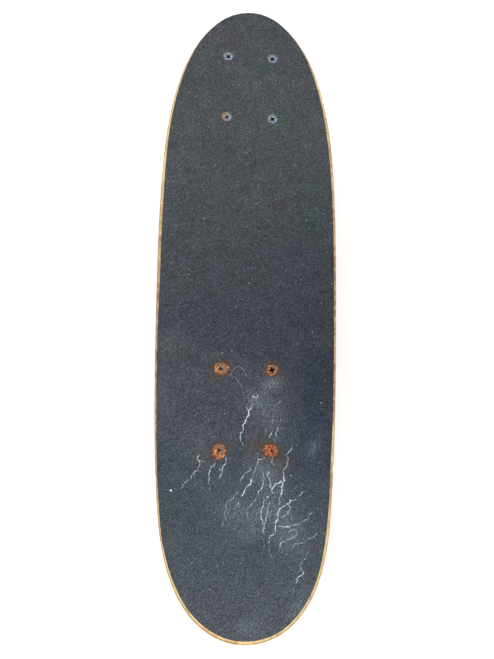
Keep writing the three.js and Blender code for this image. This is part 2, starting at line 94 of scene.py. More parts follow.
BOLT_HEAD, BOLT_SHANK, HEAD_DEPTH, BOLT_LENGTH = 4.65, 2.4, 2.7, 28
HEAD_STANDS = 0.3  # how far a bolt's head stands above the deck
RECESS_REACH, RECESS_WIDTH, RECESS_DEPTH = 4.7, 1.65, 2.1
CAST_VOXEL, CAST_RELIEF, CAST_LUMPS = 0.7, 0.05, 1.6

deck_top = deck_bottom + DECK_THICKNESS * MM


def outline(inset):
    """The blank's edge, clockwise from the nose, moved inwards by one number or by one per point."""
    t = np.linspace(0, 2, LOOP_STEPS, endpoint=False)
    side = np.where(t <= 1, 1, -1)
    fold = np.where(t <= 1, t, 2 - t)
    along = np.abs(np.cos(fold * math.pi))
    front = fold < 0.5
    wide = np.sqrt(1 - along ** np.where(front, NOSE_POWER, TAIL_POWER))
    wide = wide * np.where(front, 1, 1 - TAPER * along**TAPER_POWER)
    s = WIDEST_AT + along * np.where(front, NOSE_END - WIDEST_AT, TAIL_END - WIDEST_AT)
    loop = np.stack([side * HALF_WIDTH * wide, s], 1)
    tangent = np.roll(loop, -1, 0) - np.roll(loop, 1, 0)
    tangent /= np.linalg.norm(tangent, axis=1)[:, None]
    inward = np.stack([tangent[:, 1], -tangent[:, 0]], 1)
    return loop + inward * np.broadcast_to(inset, LOOP_STEPS)[:, None]


def bend(x, s, height):
    """Places points of the flat blank on the kicked board: `height` is above its top face."""
    x, s, height = np.broadcast_arrays(x, s, height)
    along = np.maximum(KICK_START - s, 0)
    turn = np.minimum(along / KICK_RADIUS, KICK_ANGLE)
    straight = along - turn * KICK_RADIUS
    radius = KICK_RADIUS - height
    y = np.maximum(s, KICK_START) - radius * np.sin(turn) - straight * np.cos(turn)
    z = KICK_RADIUS - radius * np.cos(turn) + straight * np.sin(turn)
    return np.stack([x * MM, wheelbase_middle + y * MM, deck_top + z * MM], -1)


def blank_place(node):
    """Where a node's middle is on the flat blank: x and s."""
    middle = middle_of(node)
    return middle.x / MM, (middle.y - wheelbase_middle) / MM


bolt_spots = {name: blank_place(f"{name}_bolt") for name in bolt_names}

# ---- Meshes ----


def finished(mesh, sharp_degrees=35):
    """Turns a mesh's faces outwards, smooths it and keeps the edges that turn more than this sharp."""
    work = bmesh.new()
    work.from_mesh(mesh)
    bmesh.ops.recalc_face_normals(work, faces=work.faces)
    work.to_mesh(mesh)
    work.free()
    mesh.shade_smooth()
    mesh.set_sharp_from_angle(angle=math.radians(sharp_degrees))
    return mesh


def made(name, points, faces, sharp_degrees=35, weld=False):
    """A finished mesh from points in metres. `weld` joins the points that meet."""
    mesh = bpy.data.meshes.new(name)
    mesh.from_pydata([tuple(p) for p in points], [], faces)
    if weld:
        work = bmesh.new()
        work.from_mesh(mesh)
        bmesh.ops.remove_doubles(work, verts=work.verts, dist=0.001 * MM)
        work.to_mesh(mesh)
        work.free()
    return finished(mesh, sharp_degrees)


def piece(name, mesh, surface, body, replaces=(), place=None):
    """Adds a mesh to the scene as a piece of the object. Without a body, it stays unattached."""
    obj = bpy.data.objects.new(name, mesh)
    bpy.context.scene.collection.objects.link(obj)
    if not mesh.materials:
        for material in surface if isinstance(surface, list) else [surface]:
            mesh.materials.append(material)
    if place is not None:
        obj.matrix_world = place
    if body is not None:
        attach(obj, body)
    if replaces:
        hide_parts(*replaces)
    return obj


def rounded(profile, radius, steps=3):
    """A profile with each of its inner corners turned into a short curve."""
    points = [np.array(p, float) for p in profile]
    smooth = [points[0]]
    for before, here, after in zip(points, points[1:], points[2:]):
        back, on = before - here, after - here
        reach = min(radius, 0.45 * np.linalg.norm(back), 0.45 * np.linalg.norm(on))
        start = here + back / np.linalg.norm(back) * reach
        end = here + on / np.linalg.norm(on) * reach
        for k in range(steps + 1):
            f = k / steps
            smooth.append((1 - f) ** 2 * start + 2 * f * (1 - f) * here + f * f * end)
    return smooth + [points[-1]]


def hexagon(flats):
    """The radius of a hexagon of this width across its flats, at each angle."""

    def radius_at(angle):
        off = (angle + math.pi / 6) % (math.pi / 3) - math.pi / 6
        return flats / 2 / math.cos(off)

    return radius_at


def lathe(profile, sides, limit=None):
    """Points and faces of a closed solid of revolution about Z, from (radius, height) pairs.

    A profile that starts off the axis closes on itself. `limit` caps the radius at each angle."""
    on_axis = profile[0][0] == 0
    points, rings = [], []
    for radius, height in profile:
        if radius == 0:
            rings.append([len(points)])
            points.append((0, 0, height * MM))
            continue
        rings.append(list(range(len(points), len(points) + sides)))
        for k in range(sides):
            angle = 2 * math.pi * k / sides
            r = min(radius, limit(angle)) if limit else radius
            points.append((r * MM * math.cos(angle), r * MM * math.sin(angle), height * MM))
    pairs = list(zip(rings, rings[1:])) + ([] if on_axis else [(rings[-1], rings[0])])
    faces = []
    for low, high in pairs:
        for k in range(sides):
            n = k + 1
            corners = [low[k % len(low)], low[n % len(low)], high[n % len(high)], high[k % len(high)]]
            faces.append(tuple(dict.fromkeys(corners)))
    return points, [face for face in faces if len(face) > 2]


def both_sides(half):
    """A profile with its mirror image below it."""
    return [*half, *[(radius, -height) for radius, height in reversed(half)]]


def threads(radius, start, end, pitch, depth):
    """(radius, height) pairs of a threaded stretch, as a row of grooves."""
    turns = int(abs(end - start) / pitch)
    way = math.copysign(pitch, end - start)
    pairs = [(radius, start)]
    for k in range(turns):
        pairs.append((radius - depth, start + way * (k + 0.5)))
        pairs.append((radius, start + way * (k + 1)))
    return pairs


def evaluated(obj):
    """The object's mesh with its modifiers applied; the object itself is removed."""
    graph = bpy.context.evaluated_depsgraph_get()
    mesh = bpy.data.meshes.new_from_object(obj.evaluated_get(graph))
    bpy.data.objects.remove(obj)
    return mesh


def temporary(mesh):
    """An object for modifiers to work on."""
    obj = bpy.data.objects.new("temporary", mesh)
    bpy.context.scene.collection.objects.link(obj)
    return obj


def roughen(mesh, amount, size, seed):
    """Moves each point along its normal by smooth noise, in metres."""
    shift = Vector((seed * 0.37, seed * 0.11, seed * 0.73))
    moved = []
    for vertex in mesh.vertices:
        high = noise.fractal(vertex.co / size + shift, 0.9, 2.1, 3)
        moved.append(vertex.co + vertex.normal * (high * amount))
    mesh.vertices.foreach_set("co", np.array(moved, np.float32).ravel())
    mesh.update()


def second_surface(mesh, chosen):
    """Gives a mesh's second surface to the faces chosen by their distance from Z and their height."""
    for face in mesh.polygons:
        far = math.hypot(face.center.x, face.center.y) / MM
        face.material_index = int(chosen(far, face.center.z / MM))
    return mesh


def cast_from(node, seed, matrix):
    """A CAD casting's shape with its edges and corners softened, moved by `matrix` into its own frame."""
    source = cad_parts[node].data.copy()
    source.materials.clear()
    source.transform(matrix)
    obj = temporary(source)
    remesh = obj.modifiers.new("remesh", "REMESH")
    remesh.mode = "VOXEL"
    remesh.voxel_size = CAST_VOXEL * MM
    soften = obj.modifiers.new("soften", "SMOOTH")
    soften.factor = 0.5
    soften.iterations = 7
    mesh = evaluated(obj)
    roughen(mesh, CAST_RELIEF * MM, CAST_LUMPS * MM, seed)
    return finished(mesh, 80)


# ---- Materials ----


def rgb(red, green, blue):
    """A colour as the shaders want it, from its 0 to 255 screen values."""
    parts = [c / 255 for c in (red, green, blue)]
    return (*[c / 12.92 if c <= 0.04045 else ((c + 0.055) / 1.055) ** 2.4 for c in parts], 1.0)


RUST_SPREAD = 0.06  # how far apart a rust's tones lie in its noise


class Surface:
    """A material around one Principled shader, with short ways to add textures sized in millimetres."""

    def __init__(self, name, roughness=0.5, metallic=0.0, **values):
        self.material = bpy.data.materials.new(name)
        self.material.use_nodes = True
        self.tree = self.material.node_tree
        self.shader = self.tree.nodes["Principled BSDF"]
        self.shader.inputs["Roughness"].default_value = roughness
        self.shader.inputs["Metallic"].default_value = metallic
        for socket, value in values.items():
            self.shader.inputs[socket.replace("_", " ")].default_value = value
        self.place = self.tree.nodes.new("ShaderNodeTexCoord").outputs["Object"]
        self.height = None

    def node(self, kind, inputs, **settings):
        made_node = self.tree.nodes.new(kind)
        for key, value in settings.items():
            setattr(made_node, key, value)
        for key, value in inputs.items():
            if isinstance(value, bpy.types.NodeSocket):
                self.tree.links.new(value, made_node.inputs[key])
            else:
                made_node.inputs[key].default_value = value
        return made_node

    def stretched(self, stretch, turn):
        if stretch == (1, 1, 1) and turn == 0:
            return self.place
        inputs = {"Vector": self.place, "Scale": stretch, "Rotation": (0, 0, turn)}
        return self.node("ShaderNodeMapping", inputs).outputs["Vector"]

    def noise(self, size, detail=4, roughness=0.55, stretch=(1, 1, 1), turn=0, distortion=0, seed=None):
        """Noise whose lumps are about `size` millimetres across."""
        inputs = {
            "Vector": self.stretched(stretch, turn),
            "Scale": 1 / (size * MM),
            "Detail": detail,
            "Roughness": roughness,
            "Distortion": distortion,
        }
        return self.seeded("Noise", inputs, seed).outputs["Fac"]

    def cells(self, size, output="Distance", seed=None):
        """Cells about `size` millimetres across."""
        inputs = {"Vector": self.place, "Scale": 1 / (size * MM)}
        return self.seeded("Voronoi", inputs, seed).outputs[output]

    def seeded(self, kind, inputs, seed):
        """A texture whose pattern changes with the seed, if it has one."""
        if seed is None:
            return self.node(f"ShaderNodeTex{kind}", inputs)
        four = {f"{kind.lower()}_dimensions": "4D"}
        return self.node(f"ShaderNodeTex{kind}", {**inputs, "W": seed}, **four)

    def attribute(self, name, output="Fac"):
        """A value that comes with the mesh's points."""
        return self.node("ShaderNodeAttribute", {}, attribute_name=name).outputs[output]

    def ramp(self, value, *stops):
        """Maps a value through (position, colour or number) stops."""
        ramp_node = self.node("ShaderNodeValToRGB", {"Fac": value})
        elements = ramp_node.color_ramp.elements
        while len(elements) < len(stops):
            elements.new(0.5)
        for element, (position, colour) in zip(elements, stops):
            element.position = position
            element.color = colour if isinstance(colour, tuple) else (colour, colour, colour, 1)
        return ramp_node.outputs["Color"]

    def mix(self, factor, a, b, mode="MIX"):
        inputs = {0: factor, 6: a, 7: b}
        return self.node("ShaderNodeMix", inputs, data_type="RGBA", blend_type=mode).outputs[2]

    def math(self, operation, a, b=0.0, clamp=False):
        return self.node("ShaderNodeMath", {0: a, 1: b}, operation=operation, use_clamp=clamp).outputs[0]

    def patchy(self, name, size, detail, roughness, *stops):
        """One of the mesh's own values, broken up by noise."""
        patches = self.ramp(self.noise(size, detail, roughness), *stops)
        return self.math("MULTIPLY", self.attribute(name), patches, clamp=True)

    def colour(self, value):
        self.use("Base Color", value)

    def use(self, socket, value):
        self.tree.links.new(value, self.shader.inputs[socket])

    def bump(self, height, depth, strength=1.0):
        """Adds relief of about `depth` millimetres to the shading."""
        inputs = {"Height": height, "Distance": depth * MM, "Strength": strength}
        if self.height is not None:
            inputs["Normal"] = self.height
        self.height = self.node("ShaderNodeBump", inputs).outputs["Normal"]
        self.use("Normal", self.height)


def grit_surface():
    """Worn silicon carbide grit: the zones' colour, with its painted light and shade, and the haze come with
    the mesh, and the grain and painted glints from here.
    """
    s = Surface("grit", roughness=0.92, Specular_IOR_Level=0.12)
    tone = s.attribute("tone", "Color")
    grain = s.noise(0.85, 3, 0.8)
    tone = s.mix(1.0, tone, s.ramp(grain, (0.3, 0.14), (0.5, 0.87), (0.7, 2.3)), "MULTIPLY")
    cloud = s.noise(14, 5, 0.65)
    tone = s.mix(1.0, tone, s.ramp(cloud, (0.32, 0.88), (0.68, 1.12)), "MULTIPLY")
    # Dusty haze is combed the way the cracks run.
    streaks = s.noise(3.2, 6, 0.75, stretch=(2.4, 0.8, 1), turn=math.radians(-24))
    streaks = s.ramp(streaks, (0.4, 0.1), (0.6, 1.7))
    haze = s.math("MULTIPLY", s.attribute("haze"), streaks, clamp=True)
    grains = s.ramp(s.noise(0.8, 3, 0.7), (0.42, 0.1), (0.6, 2.4))
    tone = s.mix(s.math("MULTIPLY", haze, grains, clamp=True), tone, rgb(150, 158, 166))
    tone = s.mix(s.patchy("stain", 2.4, 4, 0.7, (0.4, 0.2), (0.62, 1.3)), tone, rgb(88, 64, 50))
    # Painted glints: pale grey specks in the grit's colour where grains would catch the lamps.
    painted_glints = s.ramp(s.cells(1.15, "Color"), (0.9, 0.0), (0.98, 1.0))
    tone = s.mix(s.math("MULTIPLY", painted_glints, 0.4), tone, rgb(150, 154, 156))
    s.colour(tone)
    s.use("Roughness", s.ramp(grain, (0.3, 0.97), (0.7, 0.8)))
    s.bump(s.cells(0.5), 0.12, 0.9)
    s.bump(grain, 0.1, 0.6)
    return s.material


def film_surface():
    """The pale backing that shows where the grit has cracked off."""
    s = Surface("grip_film", roughness=0.7, Specular_IOR_Level=0.3)
    fibre = s.noise(0.7, 4, 0.7)
    s.colour(s.ramp(fibre, (0.35, rgb(150, 166, 180)), (0.5, rgb(206, 217, 227)), (0.65, rgb(238, 244, 250))))
    s.bump(fibre, 0.1, 0.6)
    return s.material


def maple_surface(name, pale, dark, turn, grain_turned):
    """One ply of maple: long grain, darker flecks and pores."""
    s = Surface(name, roughness=0.55, Specular_IOR_Level=0.4, Coat_Weight=0.1, Coat_Roughness=0.35)
    ring_stretch, fleck_stretch = (1, 0.04, 1), (1, 0.12, 1)
    if grain_turned:
        ring_stretch, fleck_stretch = (0.04, 1, 1), (0.12, 3, 1)
    rings = s.noise(4.5, 6, 0.6, stretch=ring_stretch, turn=turn, distortion=0.4)
    flecks = s.noise(0.8, 3, 0.6, stretch=fleck_stretch)
    palest = (*[min(1, c * 1.08) for c in pale[:3]], 1)
    wood = s.ramp(rings, (0.32, dark), (0.5, pale), (0.7, palest))
    wood = s.mix(s.ramp(flecks, (0.3, 0.45), (0.45, 0.0)), wood, dark)
    wood = s.mix(s.patchy("grime", 5, 5, 0.7, (0.36, 0.35), (0.62, 1.15)), wood, rgb(146, 104, 74))
    s.colour(wood)
    s.use("Roughness", s.ramp(rings, (0.3, 0.65), (0.7, 0.42)))
    s.bump(flecks, 0.06, 0.5)
    s.bump(rings, 0.05, 0.4)
    return s.material


def zinc_surface():
    """Dulled bluish zinc plating, dark brown towards the head's rim."""
    s = Surface("zinc_bolt", roughness=0.45, metallic=0.6)
    blotches = s.noise(2.2, 5, 0.65)
    zinc = s.ramp(blotches, (0.3, rgb(84, 104, 124)), (0.5, rgb(132, 162, 190)), (0.7, rgb(172, 204, 228)))
    # The head's colour turns darker brown towards its rim.
    worn = s.patchy("rim", 1.6, 4, 0.7, (0.3, 0.6), (0.6, 1.0))
    zinc = s.mix(worn, zinc, s.ramp(blotches, (0.35, rgb(46, 42, 42)), (0.65, rgb(112, 94, 78))))
    rust = s.patchy("rust", 1.1, 4, 0.7, (0.36, 0.2), (0.56, 1.6))
    s.colour(s.mix(rust, zinc, s.ramp(blotches, (0.3, rgb(96, 56, 28)), (0.7, rgb(200, 144, 70)))))
    s.use("Metallic", s.ramp(s.math("MAXIMUM", rust, worn), (0.1, 0.6), (0.5, 0.0)))
    s.use("Roughness", s.ramp(rust, (0.1, 0.42), (0.5, 0.9)))
    s.bump(blotches, 0.05, 0.6)
    return s.material


def rust_surface(name):
    """Flaking rust, from dark brown in its pits to pale orange on its scabs, with pale and dark flakes."""
    s = Surface(name, roughness=0.92, Specular_IOR_Level=0.15)
    seed = s.attribute("seed")
    lumps = s.noise(2.0, 6, 0.72, seed=seed)
    tones = (74, 42, 28), (128, 72, 42), (164, 96, 52), (190, 126, 78), (212, 178, 138)
    stops = [(0.5 + (k - 2) * RUST_SPREAD, rgb(*tone)) for k, tone in enumerate(tones)]
    rust = s.ramp(lumps, *stops)
    redder = s.ramp(lumps, (0.4, rgb(92, 46, 32)), (0.5, rgb(146, 76, 46)), (0.6, rgb(180, 104, 66)))
    rust = s.mix(s.attribute("red"), rust, redder)
    flakes = s.cells(0.95, "Color", seed)
    rust = s.mix(s.ramp(flakes, (0.84, 0.0), (0.88, 0.8)), rust, rgb(222, 196, 160))
    rust = s.mix(s.ramp(flakes, (0.22, 0.75), (0.27, 0.0)), rust, rgb(92, 70, 58))
    bare = s.patchy("bare", 1.6, 4, 0.6, (0.38, 0.3), (0.52, 1.5))
    scale = s.noise(1.1, 4, 0.7, seed=seed)
    rust = s.mix(bare, rust, s.ramp(scale, (0.36, rgb(78, 66, 58)), (0.64, rgb(150, 132, 120))))
    # Towards the crust's outer rim the rust turns grey-olive and dark: partly its colour, partly painted
    # shade.
    shaded_fringe = s.ramp(lumps, (0.4, rgb(52, 46, 40)), (0.6, rgb(112, 104, 84)))
    s.colour(s.mix(s.attribute("shaded_fringe"), rust, shaded_fringe))
    s.bump(lumps, 0.25, 0.8)
    s.bump(s.noise(0.5, 3, 0.6), 0.08, 0.7)
    return s.material


def filling_surface(name, dark, pale):
    """What has packed into a recess: grime or rust, which in the darkest fillings also stands for painted
    shade.
    """
    s = Surface(name, roughness=0.95, Specular_IOR_Level=0.1)
    crumbs = s.noise(0.8, 4, 0.7)
    s.colour(s.ramp(crumbs, (0.4, dark), (0.65, pale)))
    s.bump(crumbs, 0.15, 0.7)
    return s.material


def casting_surface():
    """Tumbled cast aluminium with dirt in its pores."""
    s = Surface("cast_aluminium", roughness=0.45, metallic=0.9)
    cloud = s.noise(7, 5, 0.6)
    pores = s.noise(0.9, 4, 0.7)
    metal = s.ramp(cloud, (0.3, rgb(158, 160, 162)), (0.7, rgb(196, 197, 198)))
    s.colour(s.mix(s.ramp(pores, (0.3, 0.6), (0.45, 0.0)), metal, rgb(92, 90, 86)))
    s.use("Roughness", s.ramp(cloud, (0.3, 0.56), (0.7, 0.36)))
    s.bump(pores, 0.12, 0.5)
    s.bump(s.noise(0.35, 2, 0.5), 0.04, 0.4)
    return s.material


def steel_surface(name, dark, pale, roughness, rust_share=0.0):
    """Turned or plated steel with fine marks round its axis and a little tarnish."""
    s = Surface(name, roughness=roughness, metallic=0.95)
    marks = s.noise(0.6, 3, 0.6)
    cloud = s.noise(5, 5, 0.65)
    metal = s.ramp(cloud, (0.3, dark), (0.7, pale))
    if rust_share:
        spots = s.ramp(s.noise(3.5, 6, 0.7), (0.6 - rust_share, 0.0), (0.7, 0.9))
        metal = s.mix(spots, metal, rgb(128, 78, 48))
        s.use("Metallic", s.ramp(spots, (0.2, 0.95), (0.7, 0.1)))
    s.colour(metal)
    s.use("Roughness", s.ramp(marks, (0.3, min(1, roughness + 0.14)), (0.7, max(0.05, roughness - 0.08))))
    s.bump(marks, 0.02, 0.4)
    return s.material


def urethane_surface():
    """A cream wheel, dirtier and rougher where it rolls."""
    s = Surface("wheel_urethane", roughness=0.42, Subsurface_Weight=0.12, Subsurface_Scale=0.004)
    cloud = s.noise(9, 5, 0.6)
    body = s.ramp(cloud, (0.3, rgb(214, 204, 178)), (0.7, rgb(236, 228, 206)))
    dirt = s.patchy("wear", 11, 7, 0.62, (0.34, 0.35), (0.66, 1.0))
    s.colour(s.mix(dirt, body, rgb(134, 126, 110)))
    s.use("Roughness", s.ramp(dirt, (0.0, 0.36), (0.6, 0.8)))
    s.bump(s.noise(1.2, 5, 0.7), 0.12, 0.4)
    return s.material


def soft_surface(name, dark, pale, roughness, lump, subsurface=0.0):
    """A moulded or cast plastic with a faint skin texture."""
    s = Surface(name, roughness=roughness, Subsurface_Weight=subsurface, Subsurface_Scale=0.003)
    cloud = s.noise(lump, 5, 0.6)
    dust = s.noise(lump * 0.25, 4, 0.7)
    body = s.ramp(cloud, (0.3, dark), (0.7, pale))
    s.colour(s.mix(s.ramp(dust, (0.5, 0.0), (0.75, 0.25)), body, rgb(140, 136, 128)))
    s.use("Roughness", s.ramp(dust, (0.3, roughness), (0.7, min(1, roughness + 0.2))))
    s.bump(s.noise(0.5, 3, 0.6), 0.04, 0.5)
    return s.material


def floor_surface():
    """White paper that glows a little, so that it stays white in the shade."""
    glow = {"Emission_Color": (1, 1, 1, 1), "Emission_Strength": 0.14}
    s = Surface("floor", roughness=0.9, Specular_IOR_Level=0.2, **glow)
    s.colour(s.ramp(s.noise(60, 3, 0.5), (0.3, rgb(246, 246, 247)), (0.7, rgb(250, 250, 251))))
    return s.material


GRIT = grit_surface()
FILM = film_surface()
CUT_EDGE = soft_surface("grip_cut_edge", rgb(34, 35, 38), rgb(62, 63, 66), 0.8, 4)
ZINC = zinc_surface()
RUST = rust_surface("rusted_bolt")
CRUST = rust_surface("rust_crust")
# The near-black grime and dark rust fillings are partly dirt and rust, partly painted shade in the recess.
FILLINGS = {
    "grime": filling_surface("recess_grime_and_shade", rgb(6, 5, 6), rgb(22, 15, 14)),
    "rust_and_shade": filling_surface("recess_rust_and_shade", rgb(16, 7, 4), rgb(64, 30, 16)),
    "brown_rust": filling_surface("recess_brown_rust", rgb(84, 40, 26), rgb(140, 78, 48)),
    "red_rust": filling_surface("recess_red_rust", rgb(34, 14, 10), rgb(96, 46, 30)),
    "pale_rust": filling_surface("recess_pale_rust", rgb(60, 30, 10), rgb(176, 104, 40)),
}
CASTING = casting_surface()
KINGPIN_STEEL = steel_surface("kingpin_steel", rgb(120, 122, 126), rgb(168, 170, 174), 0.38, 0.08)
WASHER_STEEL = steel_surface("washer_steel", rgb(150, 152, 156), rgb(196, 198, 202), 0.3, 0.06)
NUT_STEEL = steel_surface("nut_steel", rgb(142, 146, 152), rgb(192, 196, 202), 0.32, 0.08)
AXLE_STEEL = steel_surface("axle_steel", rgb(128, 130, 134), rgb(176, 178, 182), 0.3, 0.06)
BEARING_STEEL = steel_surface("bearing_steel", rgb(150, 152, 155), rgb(202, 204, 207), 0.2)
SHIELD = steel_surface("bearing_shield", rgb(46, 48, 54), rgb(70, 73, 80), 0.45)
SPACER_STEEL = steel_surface("spacer_steel", rgb(150, 152, 155), rgb(190, 192, 195), 0.35)
NYLON = soft_surface("nut_nylon", rgb(196, 200, 206), rgb(226, 228, 232), 0.45, 3, 0.1)
URETHANE = urethane_surface()
BUSHING = soft_surface("bushing_urethane", rgb(186, 116, 40), rgb(222, 156, 70), 0.42, 8, 0.15)
CUP = soft_surface("cup_urethane", rgb(30, 31, 33), rgb(48, 49, 52), 0.55, 6)
RISER = soft_surface("riser_plastic", rgb(26, 27, 29), rgb(44, 45, 48), 0.5, 10)

# ---- Deck ----

EDGE_LEVELS = 6  # the points down a ply's edge
GLUE_GROOVE = 0.16  # how far the edge sinks in at a glue line
PLY_GRID = 7.0
HOLE_CLEARANCE = 0.3
# Each ply's pale and dark tones, from the top.
PLY_TONES = [
    (rgb(240, 208, 142), rgb(206, 160, 98)),
    (rgb(158, 110, 76), rgb(118, 78, 54)),
    (rgb(240, 212, 166), rgb(212, 172, 120)),
    (rgb(226, 190, 140), rgb(190, 146, 98)),
    (rgb(188, 142, 100), rgb(146, 104, 72)),
    (rgb(236, 204, 154), rgb(206, 164, 112)),
    (rgb(232, 198, 148), rgb(198, 154, 102)),
]
OTHER_SIDE = 10  # keeps a chip off the points of the other side
# Bites out of the edge: the side, the place along the blank, the length and depth, the first and last ply.
CHIPS = [
    (-1, -201, 2.2, 1.9, 0, 2),
    (1, TAIL_END, 3.4, 1.7, 1, 4),
    (-1, -244, 1.6, 0.8, 0, 1),
    (1, -190, 2.2, 0.6, 1, 3),
    (1, -268, 1.8, 0.8, 0, 1),
    (-1, 60, 2.0, 0.6, 0, 2),
    (1, -110, 2.6, 0.5, 0, 1),
    (1, 140, 1.6, 0.6, 0, 1),
    (-1, -30, 1.5, 0.5, 0, 1),
    (1, 216, 2.4, 0.9, 1, 3),
]


def smooth_noise(points, size, seed):
    """One value between about -1 and 1 for each point, from noise with lumps of this size."""
    return np.array([noise.noise(Vector((x / size, y / size, seed))) for x, y in points])


def edge_inset(depth):
    """How far the rounded edge lies inside the outline, at a depth below the top face."""
    nearest = min(depth, DECK_THICKNESS - depth)
    if nearest >= EDGE_RADIUS:
        return 0.0
    return EDGE_RADIUS - math.sqrt(EDGE_RADIUS**2 - (EDGE_RADIUS - nearest) ** 2)


def chipped(inset, ply, loop):
    """A ply's insets, deepened at the chips that reach it."""
    for side, place, length, depth, first, last in CHIPS:
        if first <= ply <= last:
            x, s = min(loop, key=lambda p: abs(p[1] - place) + (p[0] * side < 0) * OTHER_SIDE)
            far = np.hypot(loop[:, 0] - x, loop[:, 1] - s) / length
            inset = inset + depth * np.exp(-(far**4)) * (1 + 0.5 * smooth_noise(loop, 0.7, ply))
    return inset


def hole_radius(depth):
    """The countersunk bolt hole's radius at a depth below the deck's top face."""
    head = BOLT_HEAD + HOLE_CLEARANCE - (depth + HEAD_STANDS) * (BOLT_HEAD - BOLT_SHANK) / HEAD_DEPTH
    return max(head, BOLT_SHANK + 0.2)


def circle(x, s, radius, steps=32):
    turns = [2 * math.pi * k / steps for k in range(steps)]
    return [(x + radius * math.cos(a), s + radius * math.sin(a)) for a in turns]


def ply_mesh(ply):
    """One ply: its edge and bolt holes as walls between a top and a bottom sheet."""
    loop = outline(0)
    depths = np.linspace(PLY_DEPTHS[ply], PLY_DEPTHS[ply + 1], EDGE_LEVELS)
    creep = 0.07 * smooth_noise(loop, 18, 3.1 * ply) + (0.1 if ply % 2 else 0.0)
    points, faces = [], []

    def add(loops, depth):
        for ring in loops:
            ring = np.array(ring)
            points.append(bend(ring[:, 0], ring[:, 1], -depth))

    for step, depth in enumerate(depths):
        groove = GLUE_GROOVE if step in (0, EDGE_LEVELS - 1) and 0 < depth < DECK_THICKNESS else 0.0
        edge = outline(chipped(edge_inset(depth) + creep + groove, ply, loop))
        holes = [circle(x, s, hole_radius(depth)) for x, s in bolt_spots.values()]
        add([edge, *holes], depth)
        if step in (0, EDGE_LEVELS - 1):
            spread, triangles = sheet_from(edge, holes, grid_inside(4, PLY_GRID, ()))
            start = sum(len(p) for p in points)
            add([spread], depth)
            faces += [tuple(start + c for c in t) for t in triangles]
    # The first level's sheet lies between its own loops and the next level's.
    rings = [0, *np.cumsum([len(p) for p in points])]
    per_level = 1 + len(bolt_spots)
    levels = [k * per_level + (1 if k else 0) for k in range(EDGE_LEVELS)]
    for above, below in zip(levels, levels[1:]):
        for part in range(per_level):
            high, low, count = rings[above + part], rings[below + part], len(points[above + part])
            for k in range(count):
                n = (k + 1) % count
                faces.append((high + k, high + n, low + n, low + k))
    mesh = made(f"deck_ply_{ply + 1}", np.concatenate(points), faces, 50, weld=True)
    x, s = [np.array([v.co[k] for v in mesh.vertices]) / MM for k in (0, 1)]
    add_values(mesh, "grime", edge_grime(x, s - wheelbase_middle / MM, ply))
    return mesh


# How dirty the edge is along the blank: hands and kerbs have browned the long sides more than the tail.
GRIME_PLACES = (-300, -255, -200, -120, 0, 90, 150, 230)
GRIME_SHARES = (0.1, 0.05, 0.5, 0.8, 0.75, 0.35, 0.4, 0.8)
GRIMIER_RIGHT = 0.15


def edge_grime(x, y, ply):
    """How dirty each point is: the grime lies on the edge and within a few millimetres of it."""
    share = np.interp(y, GRIME_PLACES, GRIME_SHARES)
    share = share + GRIMIER_RIGHT * (x > 0)
    places = np.stack([x, y], 1)
    share = share * (1 + 0.9 * smooth_noise(places, 24, 5.5) + 0.5 * smooth_noise(places, 5, ply))
    right = outline(0)[: LOOP_STEPS // 2 + 1]
    half = np.interp(y, right[::-1, 1], right[::-1, 0])
    near_edge = np.clip((abs(x) - half + 9) / 7, 0, 1)
    return np.clip(share * (0.15 + 0.85 * near_edge), 0, 1)


def build_deck():
    """Seven plies; two of them run across the board."""
    for ply, (pale, dark) in enumerate(PLY_TONES):
        surface = maple_surface(f"maple_{ply + 1}", pale, dark, 0.05 * (ply - 3), ply in (2, 4))
        replaces = ["deck"] if ply == 0 else []
        piece(f"deck_ply_{ply + 1}", ply_mesh(ply), surface, "board", replaces)


# ---- Grip tape ----

BOLD, MEDIUM, FINE, HAIR = 0.8, 0.52, 0.38, 0.26
GRIT_SEED = 7
BRANCHING = 0.5  # the share of a crack's stretches that send out a branch
CRACK_STEP, CRACK_WANDER = 0.9, 0.22  # between a crack's points, and how far they stray sideways
